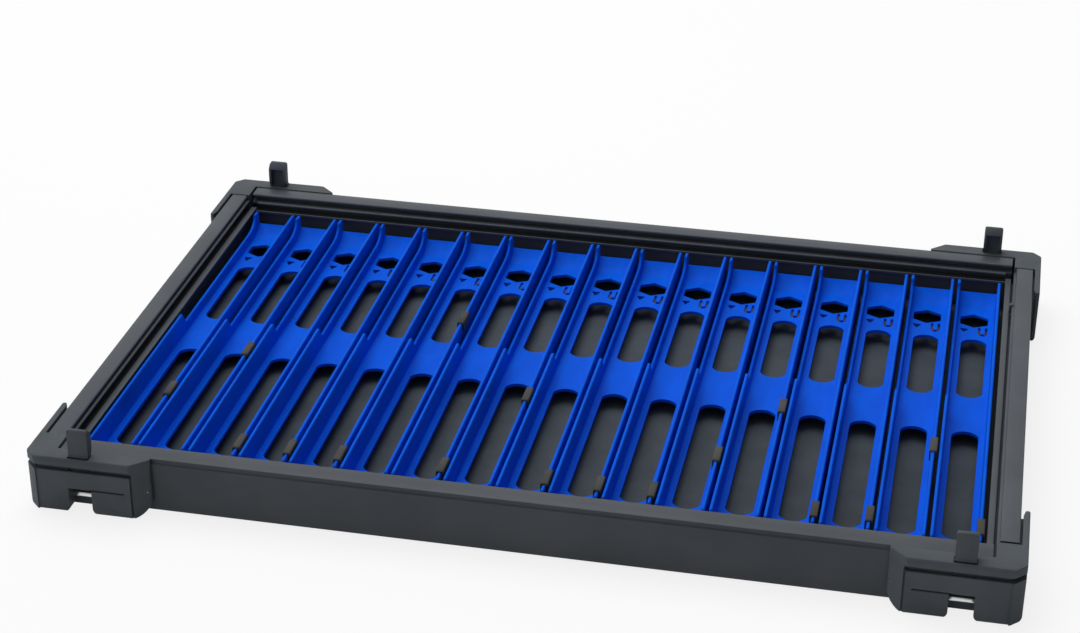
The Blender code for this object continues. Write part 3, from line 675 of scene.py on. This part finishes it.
def make_plug():
    """The small piece that bridges the right rail's groove near its rear end."""
    inner = HALF_WIDTH - SIDE_LEDGE_START - CLEARANCE
    low = (inner, PLUG_Y - PLUG_LENGTH / 2, RAIL_TOP - PLUG_DROP - PLUG_HEIGHT)
    high = (inner + PLUG_WIDTH, PLUG_Y + PLUG_LENGTH / 2, RAIL_TOP - PLUG_DROP)
    finish = anodised_finish("plug_grey", "y", RAIL_DARK, RAIL_LIGHT)
    piece("groove_plug", edged(block_between(low, high), BAND_ROUND), "frame", finish)


def make_floor_panel():
    """The flat sheet in the rails' slots."""
    low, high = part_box("floor_panel")
    panel = edged(block_between(low, high), BAND_ROUND / 2)
    finish = moulded_finish("panel_grey", PANEL_DARK, PANEL_LIGHT, PANEL_GRAIN, DULL_ROUGHNESS)
    piece("floor_sheet", panel, "frame", finish, "floor_panel")


def block_plan():
    """The rear right block seen from above: corners, each (across, along, radius), and the edge after each.

    An edge is given as how far the block's top falls away along it and over what depth, and how far its
    foot is rounded.
    """
    wing_end = BLOCK_SIDE - LONG_WING
    wing_face = HALF_DEPTH + CLEARANCE
    slit = HALF_WIDTH + SLIT_WIDTH
    side_end = BLOCK_REAR - SIDE_WING
    plate_inner = HALF_WIDTH - PLATE_WIDTH
    plate_front = HALF_DEPTH - PLATE_DEPTH
    fine = (FINE_ROUND, FINE_ROUND, FINE_ROUND)
    side = (SIDE_ROUND, SIDE_ROUND, SIDE_ROUND)
    lip = (LIP_FALL, LIP_DEPTH, FOOT_ROUNDING)
    nose = (LIP_FALL, NOSE_DEPTH, SIDE_ROUND)
    return [
        ((wing_end, wing_face, NOSE_RELIEF), fine),
        ((plate_inner, wing_face, FINE_ROUND), fine),
        ((plate_inner, plate_front, FINE_ROUND), fine),
        ((slit, plate_front, FINE_ROUND), fine),
        ((slit, side_end + SIDE_TAPER_LENGTH, PLAN_ROUND), fine),
        ((slit + SIDE_TAPER, side_end, PLAN_ROUND), fine),
        ((BLOCK_SIDE, side_end, PLAN_ROUND), side),
        ((BLOCK_SIDE, BLOCK_REAR - CORNER_BEVEL, CORNER_ROUND), side),
        ((BLOCK_SIDE - CORNER_BEVEL, BLOCK_REAR, CORNER_ROUND), lip),
        ((wing_end + WING_NOSE_LENGTH, BLOCK_REAR, NOSE_TURN), nose),
        ((wing_end, wing_face + WING_NOSE_EDGE, NOSE_ROUND), fine),
    ]


def drawn_in(corners, depths):
    """An outline's corners, anticlockwise, with the edge after each corner drawn in by its own depth."""
    moved = []
    for number, (across, along, radius) in enumerate(corners):
        corner = Vector((across, along))
        arriving = (corner - Vector(corners[number - 1][:2])).normalized()
        leaving = (Vector(corners[(number + 1) % len(corners)][:2]) - corner).normalized()
        turn = arriving.cross(leaving)
        corner += (leaving * depths[number - 1] - arriving * depths[number]) / turn
        deepest = max(depths[number - 1], depths[number])
        kept = max(radius - deepest, radius / 3) if turn > 0 else radius + deepest
        moved.append((corner.x, corner.y, kept))
    return moved


def fallen(past):
    """How far a quarter round has come in, when it has risen by this share of its height."""
    return 1 - sqrt(max(0.0, 1 - max(0.0, past) ** 2))


def block_body():
    """The uncut block, with its upper and lower edges rounded."""
    corners, edges = zip(*block_plan())
    quarter = [sin(step / LIP_STEPS * pi / 2) for step in range(LIP_STEPS + 1)]
    levels = {foot * (1 - share) for _, _, foot in edges for share in quarter}
    levels |= {BLOCK_TOP - fall * (1 - share) for fall, _, _ in edges for share in quarter}
    sections = []
    for height in sorted(levels):
        depths = [depth * fallen(1 - (BLOCK_TOP - height) / fall) + foot * fallen(1 - height / foot)
                  for fall, depth, foot in edges]
        sections.append([(across, along, height) for across, along in rounded(drawn_in(corners, depths))])
    return lofted(sections)


def foot_cutters():
    """What rounds the foot's two lower corners, seen from the rear."""
    wing_end = BLOCK_SIDE - LONG_WING
    low = BLOCK_REAR - SIDE_WING - OVERRUN
    high = BLOCK_REAR + OVERRUN
    inner = arc((wing_end + FOOT_CURVE, FOOT_CURVE), (FOOT_CURVE, FOOT_CURVE), 180, 270)
    inner += [(wing_end + FOOT_CURVE, -OVERRUN), (wing_end - OVERRUN, -OVERRUN),
              (wing_end - OVERRUN, FOOT_CURVE)]
    outer = arc((BLOCK_SIDE - FOOT_CORNER, FOOT_CORNER), (FOOT_CORNER, FOOT_CORNER), 270, 360)
    outer += [(BLOCK_SIDE + OVERRUN, FOOT_CORNER), (BLOCK_SIDE + OVERRUN, -OVERRUN),
              (BLOCK_SIDE - FOOT_CORNER, -OVERRUN)]
    return [extruded([inner], "y", low, high), extruded([outer], "y", low, high)]


def notch_outline(spread):
    """The notch in the foot, flared at its mouth, and widened all round by a spread."""
    left, right = NOTCH_X - NOTCH_WIDTH / 2 - spread, NOTCH_X + NOTCH_WIDTH / 2 + spread
    curve = MOUTH_CURVE - spread
    top = NOTCH_HEIGHT + spread
    mouth = [(right, top), (left, top)]
    mouth += arc((left - curve, MOUTH_CURVE), (curve, MOUTH_CURVE), 0, -90)
    mouth += [(left - curve, -OVERRUN), (right + curve, -OVERRUN)]
    mouth += arc((right + curve, MOUTH_CURVE), (curve, MOUTH_CURVE), 270, 180)
    return mouth


def notch_cutters():
    """The notch, with a soft edge round its mouth, and the higher chamber behind the face."""
    left, right = NOTCH_X - NOTCH_WIDTH / 2, NOTCH_X + NOTCH_WIDTH / 2
    bar_low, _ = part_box("latch_bar_rear_right")
    chamber_start = bar_low.y - CLEARANCE
    face = BLOCK_REAR - PANEL_DEPTH
    stations = [(chamber_start, 0.0)]
    for step in range(CORNER_STEPS + 1):
        share = step / CORNER_STEPS
        stations.append((face - NOTCH_EDGE * (1 - share), NOTCH_EDGE * fallen(share)))
    stations.append((BLOCK_REAR + OVERRUN, NOTCH_EDGE))
    notch = lofted([[(across, along, up) for across, up in notch_outline(spread)]
                    for along, spread in stations])
    chamber = block_between((left, chamber_start, NOTCH_HEIGHT - OVERRUN),
                            (right, BLOCK_REAR - CHAMBER_WALL, CHAMBER_HEIGHT))
    return [notch, chamber]


def face_cutters():
    """The panel set back below the lip, the undercut between them, the groove beside it and the crack."""
    panel_start = BLOCK_SIDE - LONG_WING + PANEL_START
    panel_end = BLOCK_SIDE - PANEL_END
    lip_foot = BLOCK_TOP - LIP_HEIGHT
    panel_top = lip_foot - UNDERCUT_HEIGHT
    face = BLOCK_REAR - PANEL_DEPTH
    rear = BLOCK_REAR + OVERRUN
    profile = arc((face - FOOT_ROUNDING, FOOT_ROUNDING), (FOOT_ROUNDING, FOOT_ROUNDING), -90, 0)
    profile += arc((face - PANEL_EDGE, panel_top - PANEL_EDGE), (PANEL_EDGE, PANEL_EDGE), 0, 90)
    profile += [(BLOCK_REAR - UNDERCUT_DEPTH, panel_top), (BLOCK_REAR - UNDERCUT_DEPTH, lip_foot)]
    profile += arc((BLOCK_REAR - LIP_EDGE, lip_foot + LIP_EDGE), (LIP_EDGE, LIP_EDGE), -90, 0)
    profile += [(rear, lip_foot + LIP_EDGE), (rear, -OVERRUN), (face - FOOT_ROUNDING, -OVERRUN)]
    panel = extruded([profile], "x", panel_start, panel_end)
    # The undercut goes on round the block's slanted corner
    slant = CORNER_BEVEL + UNDERCUT_DEPTH * sqrt(2)
    wrap = [
        (panel_end - UNDERCUT_DEPTH * 2, BLOCK_REAR - UNDERCUT_DEPTH),
        (BLOCK_SIDE + UNDERCUT_DEPTH - slant, BLOCK_REAR - UNDERCUT_DEPTH),
        (BLOCK_SIDE, BLOCK_REAR - slant),
        (BLOCK_SIDE + OVERRUN, BLOCK_REAR - slant),
        (BLOCK_SIDE + OVERRUN, rear),
        (panel_end - UNDERCUT_DEPTH * 2, rear),
    ]
    undercut = extruded([wrap], "z", panel_top, lip_foot)
    side_groove = block_between((panel_start - FINE_ROUND, BLOCK_REAR - SIDE_GROOVE_DEPTH, -OVERRUN),
                                (panel_start + SIDE_GROOVE, rear, lip_foot - UNDERCUT_HEIGHT / 2))
    notch_side = NOTCH_X - NOTCH_WIDTH / 2
    high = NOTCH_HEIGHT + CRACK_RISE
    low = high - CRACK_HEIGHT
    deep = face - CRACK_DEPTH
    profile = [(deep, low)] + arc((face - CRACK_EDGE, low - CRACK_EDGE), (CRACK_EDGE, CRACK_EDGE), 90, 0)
    profile += [(rear, low - CRACK_EDGE), (rear, high), (deep, high)]
    crack = extruded([profile], "x", notch_side - CRACK_LENGTH, notch_side + CRACK_HEIGHT)
    return [panel, undercut, side_groove, crack]


def slit_floor():
    """What closes the slit beside the side rail, below the part of it that shows."""
    end = BLOCK_REAR - SIDE_WING + PLAN_ROUND
    return block_between((HALF_WIDTH + SLIT_GAP, end, FOOT_ROUNDING),
                         (HALF_WIDTH + SLIT_WIDTH + SIDE_TAPER + FINE_ROUND,
                          HALF_DEPTH - PLATE_DEPTH + FINE_ROUND, BLOCK_TOP - SLIT_DEPTH))


def hook_slot():
    """The slot in the block's top for the hook, with room for it to spring outwards."""
    half = HOOK_WIDTH / 2 + CLEARANCE
    swing = (PIVOT_DROP + CLEARANCE) * sin(HOOK_TRAVEL)
    inner = HOOK_Y - ROOT_RADIUS - CLEARANCE
    outer = HOOK_Y + max(ROOT_RADIUS, HOOK_THICKNESS / 2 + swing) + CLEARANCE
    return block_between((NOTCH_X - half, inner, PIVOT_Z - ROOT_RADIUS - CLEARANCE),
                         (NOTCH_X + half, outer, BLOCK_TOP + OVERRUN))


def block_mesh():
    """The whole rear right block, with everything cut out of it."""
    body = block_body()
    cutters = foot_cutters() + notch_cutters() + face_cutters() + [hook_slot()]
    pin_low, pin_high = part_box("wing_pin_rear_right")
    pin_radius = (pin_high.z - pin_low.z) / 2
    pin_hole = bar_mesh(pin_radius + CLEARANCE, (pin_low + pin_high) / 2, pin_high.x - pin_low.x)
    return combined(body, [slit_floor()], cutters + [pin_hole])


def hook_mesh():
    """The rear right hook: its root round the pin, and an arm with a rib down each side and a nose."""
    inner, outer = HOOK_Y - HOOK_THICKNESS / 2, HOOK_Y + HOOK_THICKNESS / 2
    top = BLOCK_TOP + HOOK_HEIGHT
    nose = inner - HOOK_NOSE_REACH
    shoulder = PIVOT_Z + ROOT_RADIUS
    rib_foot = BLOCK_TOP + CLEARANCE
    skirt_foot = BLOCK_TOP + SKIRT_GAP
    nose_foot = top - HOOK_NOSE_FACE
    profile = arc((HOOK_Y, PIVOT_Z), (ROOT_RADIUS, ROOT_RADIUS), 0, -180)
    profile.append((inner, shoulder))
    profile += arc((inner, rib_foot + HOOK_RIB_RISE), (HOOK_NOSE_REACH, HOOK_RIB_RISE), 270, 180)
    profile += rounded([(nose, nose_foot, 0), (nose + HOOK_NOSE_LEAN, top, HOOK_TOP_ROUND),
                        (outer, top, HOOK_TOP_ROUND), (outer, skirt_foot + SKIRT_RISE, 0)])[:-1]
    # The skirt swells out of the arm over the slot's outer side
    profile += arc((outer + SKIRT_REACH, skirt_foot + SKIRT_RISE),
                   (SKIRT_REACH, SKIRT_RISE - SKIRT_EDGE), 180, 270)
    profile += [(outer + SKIRT_REACH, skirt_foot), (outer, skirt_foot), (outer, shoulder)]
    hook = extruded([profile], "x", NOTCH_X - HOOK_WIDTH / 2, NOTCH_X + HOOK_WIDTH / 2)
    corners = []
    for side in (-1, 1):
        edge = NOTCH_X + side * HOOK_WIDTH / 2
        outline = [(edge - side * HOOK_CORNER * (1 - across), top - HOOK_CORNER * (1 - up))
                   for across, up in arc((0, 0), (1, 1), 0, 90)]
        outline += [(edge - side * HOOK_CORNER, top + OVERRUN), (edge + side * OVERRUN, top + OVERRUN),
                    (edge + side * OVERRUN, top - HOOK_CORNER)]
        corners.append(extruded([outline], "y", nose - OVERRUN, outer + OVERRUN))
    pocket = rounded([
        (nose - OVERRUN, rib_foot - CLEARANCE / 2, 0),
        (inner, rib_foot - CLEARANCE / 2, 0),
        (inner, nose_foot - HOOK_NOSE_SLOPE, HOOK_ROUND),
        (nose, nose_foot, HOOK_ROUND / 2),
        (nose - OVERRUN, nose_foot, 0),
    ])
    pocket_half = HOOK_WIDTH / 2 - HOOK_RIB
    cutter = extruded([pocket], "x", NOTCH_X - pocket_half, NOTCH_X + pocket_half)
    return edged(combined(hook, (), [cutter] + corners), HOOK_EDGE)


def make_corners():
    """Each corner's block with its hook, pins and bar."""
    plastic = moulded_finish("block_slate", BLOCK_DARK, BLOCK_LIGHT, BLOCK_GRAIN, BLOCK_ROUGHNESS)
    steel = steel_finish()
    block = block_mesh()
    hook = hook_mesh()
    for corner, (side, end) in CORNERS.items():
        piece("corner_" + corner, mirrored(block, side, end), "frame", plastic,
              "corner_block_" + corner)
        piece("catch_" + corner, mirrored(hook, side, end), "hook_" + corner + "_body",
              plastic, "hook_" + corner)
        for pin in ("hook_pivot_pin_", "latch_bar_", "wing_pin_"):
            low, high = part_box(pin + corner)
            bar = bar_mesh((high.z - low.z) / 2, (low + high) / 2, high.x - low.x)
            piece(pin + corner + "_round", bar, "frame", steel, pin + corner)


def end_drop(along):
    """How far the walls' tops fall away at the rounded corners of their ends."""
    past = abs(along) - (WINDER_LENGTH / 2 - WALL_CORNER)
    if past <= 0:
        return 0.0
    return WALL_CORNER - sqrt(max(0.0, WALL_CORNER ** 2 - past ** 2))


def low_wall_drop(along):
    """How far the left wall lies below the right one, at a place along the winder.

    Only the rear half is lower, up to the horn that the wall rises to at its end.
    """
    sweep_end = WINDER_LENGTH / 2 - HORN_LENGTH
    sweep_start = sweep_end - HORN_SWEEP
    if along <= 0 or along >= sweep_end:
        return 0.0
    if along < LOW_WALL_STEP:
        return LOW_WALL_DROP * along / LOW_WALL_STEP
    if along <= sweep_start:
        return LOW_WALL_DROP
    return LOW_WALL_DROP * sqrt(max(0.0, 1 - ((along - sweep_start) / HORN_SWEEP) ** 2))


def web_rise(along):
    """How far the web curves up between the walls at its ends."""
    share = max(0.0, (abs(along) - WINDER_LENGTH / 2 + LIP_LENGTH) / LIP_LENGTH)
    return LIP_RISE * share ** 2


def winder_section(along):
    """The winder's section at a place along it."""
    half = WINDER_WIDTH / 2
    inside = half - WINDER_WALL
    right = WINDER_TOP - end_drop(along)
    left = right - low_wall_drop(along)
    web_top = WINDER_TOP - WEB_DROP + web_rise(along)
    web_foot = web_top - WEB_THICKNESS
    outline = rounded([
        (-half, WINDER_FOOT, FOOT_ROUND),
        (-half, left, WALL_ROUND),
        (-inside, left, WALL_ROUND),
        (-inside, web_top, WEB_FILLET),
        (inside, web_top, WEB_FILLET),
        (inside, right, WALL_ROUND),
        (half, right, WALL_ROUND),
        (half, WINDER_FOOT, FOOT_ROUND),
        (inside, WINDER_FOOT, FOOT_ROUND),
        (inside, web_foot, FOOT_ROUND),
        (-inside, web_foot, FOOT_ROUND),
        (-inside, WINDER_FOOT, FOOT_ROUND),
    ])
    return [(across, along, up) for across, up in outline]


def window_outline(front, rear):
    """A window in the web, with its ends bowed along a circle, seen from above."""
    half = WINDER_WIDTH / 2 - WINDER_WALL - WINDOW_MARGIN
    radius = (half ** 2 + WINDOW_BOW ** 2) / (2 * WINDOW_BOW)
    spread = degrees(asin(half / radius))
    rear_end = arc((0, rear - radius), (radius, radius), 90 - spread, 90 + spread, WINDOW_STEPS)
    front_end = arc((0, front + radius), (radius, radius), 270 - spread, 270 + spread, WINDOW_STEPS)
    return rounded([(*point, WINDOW_CORNER if number in (0, WINDOW_STEPS) else 0)
                    for end in (rear_end, front_end) for number, point in enumerate(end)])


def web_holes():
    """The web's two windows, hexagon and two small holes, seen from above."""
    end = WINDER_LENGTH / 2
    bridge_front = BRIDGE_OFFSET - BRIDGE_LENGTH / 2
    bridge_rear = BRIDGE_OFFSET + BRIDGE_LENGTH / 2
    front_window = window_outline(-end + FRONT_STRIP, bridge_front)
    rear_window = window_outline(bridge_rear, end - CATCH_SETBACK - REAR_STRIP)
    hexagon_y = end - HEX_SETBACK
    fine = WINDOW_CORNER / 2
    hexagon = rounded([
        (HEX_WIDTH / 2, hexagon_y - HEX_LENGTH / 4, fine),
        (HEX_WIDTH / 2, hexagon_y + HEX_LENGTH / 4, fine),
        (0, hexagon_y + HEX_LENGTH / 2, fine),
        (-HEX_WIDTH / 2, hexagon_y + HEX_LENGTH / 4, fine),
        (-HEX_WIDTH / 2, hexagon_y - HEX_LENGTH / 4, fine),
        (0, hexagon_y - HEX_LENGTH / 2, fine),
    ])
    catch_y = end - CATCH_SETBACK
    reach = NOTCH_HOLE_SIZE / 2
    three_sided = rounded([
        (-CATCH_OFFSET - reach, catch_y + reach, fine / 2),
        (-CATCH_OFFSET, catch_y - reach, fine / 2),
        (-CATCH_OFFSET + reach, catch_y + reach, fine / 2),
    ])
    hole_half, tongue_half = TONGUE_HOLE_WIDTH / 2, TONGUE_WIDTH / 2
    hole_rear = catch_y + TONGUE_HOLE_LENGTH / 2
    hole_front = catch_y - TONGUE_HOLE_LENGTH / 2 + hole_half
    tongue = [(CATCH_OFFSET - hole_half, hole_rear)]
    tongue += arc((CATCH_OFFSET, hole_front), (hole_half, hole_half), 180, 360)
    tongue += [(CATCH_OFFSET + hole_half, hole_rear), (CATCH_OFFSET + tongue_half, hole_rear)]
    tongue_front = hole_rear - TONGUE_LENGTH + tongue_half
    tongue += arc((CATCH_OFFSET, tongue_front), (tongue_half, tongue_half), 0, -180)
    tongue += [(CATCH_OFFSET - tongue_half, hole_rear)]
    small = [[(across - HOLES_SHIFT, along) for across, along in outline]
             for outline in (hexagon, three_sided, tongue)]
    return [front_window, rear_window, *small]


def winder_stations():
    """Where along the winder its section changes."""
    end = WINDER_LENGTH / 2
    sweep_end = end - HORN_LENGTH
    places = [0.0, LOW_WALL_STEP, sweep_end - HORN_SWEEP]
    for step in range(STATION_STEPS + 1):
        share = step / STATION_STEPS
        corner = end - WALL_CORNER + WALL_CORNER * sin(share * pi / 2)
        lip = end - LIP_LENGTH + LIP_LENGTH * share
        places += [corner, -corner, lip, -lip]
        places.append(sweep_end - HORN_SWEEP + HORN_SWEEP * sin(share * pi / 2))
    kept = []
    for place in sorted(places):
        if not kept or place - kept[-1] > STATION_GAP:
            kept.append(place)
    return kept


def winder_mesh():
    """One winder about X = 0."""
    body = lofted([winder_section(along) for along in winder_stations()])
    web_top = WINDER_TOP - WEB_DROP
    holes = [extruded([outline], "z", web_top - WEB_THICKNESS - OVERRUN, web_top + OVERRUN)
             for outline in web_holes()]
    return edged(combined(body, (), holes), HOLE_EDGE)


def slider_mesh(low, high):
    """One slider in the box between two corners, clipped over a wall."""
    middle = (low.x + high.x) / 2
    half = (high.x - low.x) / 2
    inside = half - SLIDER_WALL
    under = high.z - SLIDER_WALL
    left_foot, right_foot = low.z, low.z + SLIDER_LEG_STEP
    sections = []
    places = [(low.y + along, shrink) for along, shrink in SLIDER_END]
    places += [(high.y - along, shrink) for along, shrink in reversed(SLIDER_END)]
    for along, shrink in places:
        outline = rounded([
            (-half, left_foot, SLIDER_FINE),
            (-half, high.z - shrink, SLIDER_ROUND),
            (half, high.z - shrink, SLIDER_ROUND),
            (half, right_foot, SLIDER_FINE),
            (inside, right_foot, SLIDER_FINE),
            (inside, under - shrink, SLIDER_FINE),
            (-inside, under - shrink, SLIDER_FINE),
            (-inside, left_foot, SLIDER_FINE),
        ])
        sections.append([(middle + across, along, up) for across, up in outline])
    return lofted(sections)


def make_winders():
    """The winders, one mesh in many places, each with its own slider."""
    blue = winder_finish()
    grey = moulded_finish("slider_grey", SLIDER_DARK, SLIDER_LIGHT, SLIDER_GRAIN, DULL_ROUGHNESS)
    winder = winder_mesh()
    for number in range(1, WINDER_COUNT + 1):
        label = "%02d" % number
        low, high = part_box("winder_" + label)
        piece("winder_%s_moulding" % label, winder.copy(), "winder_%s_body" % label, blue,
              "winder_" + label, ((low.x + high.x) / 2, 0, 0))
        slider = slider_mesh(*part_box("slider_" + label))
        piece("slider_%s_clip" % label, slider, "slider_%s_body" % label, grey,
              "slider_" + label)


def background_rays(shading):
    """1 where a ray comes from the camera or from a gloss or glass, so that it sees the background."""
    share = shading.node("ShaderNodeLightPath", output="Is Camera Ray")
    outputs = share.socket.node.outputs
    for name in ("Is Glossy Ray", "Is Transmission Ray"):
        share = share.maths("MAXIMUM", share, Wire(shading, outputs[name]))
    return share


def make_light():
    """A surround that lights softly and shows white behind the part, and one large lamp above."""
    world = bpy.data.worlds.new("studio")
    bpy.context.scene.world = world
    world.use_nodes = True
    studio = Shading(world.node_tree)
    background = studio.tree.nodes["Background"]
    background.inputs["Color"].default_value = (1, 1, 1, 1)
    direction = studio.node("ShaderNodeTexCoord")
    across = studio.node("ShaderNodeSeparateXYZ", {}, {"Vector": direction}, "X")
    depth = Wire(studio, across.socket.node.outputs["Y"])
    light = depth.between(*SKY_TURN) * (SKY_BEHIND - SKY_BEFORE) + SKY_BEFORE
    light = light + (0 - across).between(*LEFT_TURN) * SKY_LEFT
    light = light * (1 - across.between(*RIGHT_TURN) * RIGHT_SHADE)
    shown = background_rays(studio) * depth.between(*WHITE_TURN)
    studio.feed(background.inputs["Strength"], light + shown * (WHITE_STRENGTH - light))
    lamp = bpy.data.lights.new("key", "AREA")
    lamp.size = KEY_SIZE
    lamp.energy = KEY_POWER
    key = bpy.data.objects.new("key", lamp)
    key.location = KEY_PLACE
    key.rotation_euler = (-Vector(KEY_PLACE)).to_track_quat("-Z", "Y").to_euler()
    bpy.context.scene.collection.objects.link(key)


def make_stage():
    """A white table, which the camera sees as nearly the background's white, shadows kept."""
    shape = bmesh.new()
    bmesh.ops.create_grid(shape, x_segments=1, y_segments=1, size=FLOOR_SIZE / 2)
    mesh = bpy.data.meshes.new("table")
    shape.to_mesh(mesh)
    shape.free()
    floor = bpy.data.objects.new("table", mesh)
    floor.location.z = -FLOOR_GAP
    bpy.context.scene.collection.objects.link(floor)
    finish = Finish("table_white", Base_Color=(*FLOOR_COLOUR, 1), Roughness=FLOOR_ROUGHNESS)
    glow = finish.node("ShaderNodeEmission", {}, {"Color": (FLOOR_GLOW, FLOOR_GLOW, FLOOR_GLOW, 1)})
    share = background_rays(finish) * FLOOR_GLOW_SHARE
    surface = Wire(finish, finish.shader.outputs[0])
    mixed = finish.node("ShaderNodeMixShader", {}, {0: share, 1: surface, 2: glow})
    finish.feed(finish.tree.nodes["Material Output"].inputs["Surface"], mixed)
    mesh.materials.append(finish.material)


def make_camera():
    """The camera in front of the part, at the azimuth, elevation and roll of the photo."""
    level = cos(CAMERA_ELEVATION)
    back = Vector((sin(CAMERA_AZIMUTH) * level, -cos(CAMERA_AZIMUTH) * level, sin(CAMERA_ELEVATION)))
    right = Vector((0, 0, 1)).cross(back).normalized()
    up = back.cross(right)
    across = right * cos(CAMERA_ROLL) + up * sin(CAMERA_ROLL)
    above = up * cos(CAMERA_ROLL) - right * sin(CAMERA_ROLL)
    aim = Vector((*CAMERA_AIM, RAIL_TOP))
    turn = Matrix((across, above, back)).transposed().to_4x4()
    data = bpy.data.cameras.new("camera")
    data.lens = CAMERA_LENS
    data.sensor_width = SENSOR_WIDTH
    data.clip_start = CLIP_START
    camera = bpy.data.objects.new("camera", data)
    camera.matrix_world = Matrix.Translation(aim + back * CAMERA_DISTANCE) @ turn
    bpy.context.scene.collection.objects.link(camera)
    bpy.context.scene.camera = camera


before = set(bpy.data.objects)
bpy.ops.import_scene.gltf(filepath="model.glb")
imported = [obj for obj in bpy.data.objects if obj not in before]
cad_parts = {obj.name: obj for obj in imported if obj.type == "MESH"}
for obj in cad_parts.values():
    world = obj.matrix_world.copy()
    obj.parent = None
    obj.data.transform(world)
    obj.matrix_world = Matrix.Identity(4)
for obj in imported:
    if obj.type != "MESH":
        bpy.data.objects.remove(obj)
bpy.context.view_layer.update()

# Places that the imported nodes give
WINDER_COUNT = sum(name.startswith("winder_") and not name.endswith("_body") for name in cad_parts)
RAIL_LOW, RAIL_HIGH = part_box("right_rail")
_, REAR_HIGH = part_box("rear_rail")
_, BLOCK_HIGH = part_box("corner_block_rear_right")
WINDER_LOW, WINDER_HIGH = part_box("winder_01")
HALF_WIDTH = RAIL_HIGH.x
HALF_DEPTH = REAR_HIGH.y
RAIL_TOP = RAIL_HIGH.z
RAIL_HEIGHT = RAIL_HIGH.z - RAIL_LOW.z
BLOCK_SIDE, BLOCK_REAR, BLOCK_TOP = BLOCK_HIGH
WINDER_FOOT, WINDER_TOP = WINDER_LOW.z, WINDER_HIGH.z
WINDER_WIDTH = WINDER_HIGH.x - WINDER_LOW.x
WINDER_LENGTH = WINDER_HIGH.y - WINDER_LOW.y
NOTCH_X = BLOCK_SIDE - NOTCH_SETBACK
HOOK_Y = BLOCK_REAR - HOOK_SETBACK
PIVOT_Z = BLOCK_TOP - PIVOT_DROP

bpy.context.scene.view_settings.view_transform = "Standard"
make_rails()
make_plug()
make_floor_panel()
make_corners()
make_winders()
make_light()
make_stage()
make_camera()
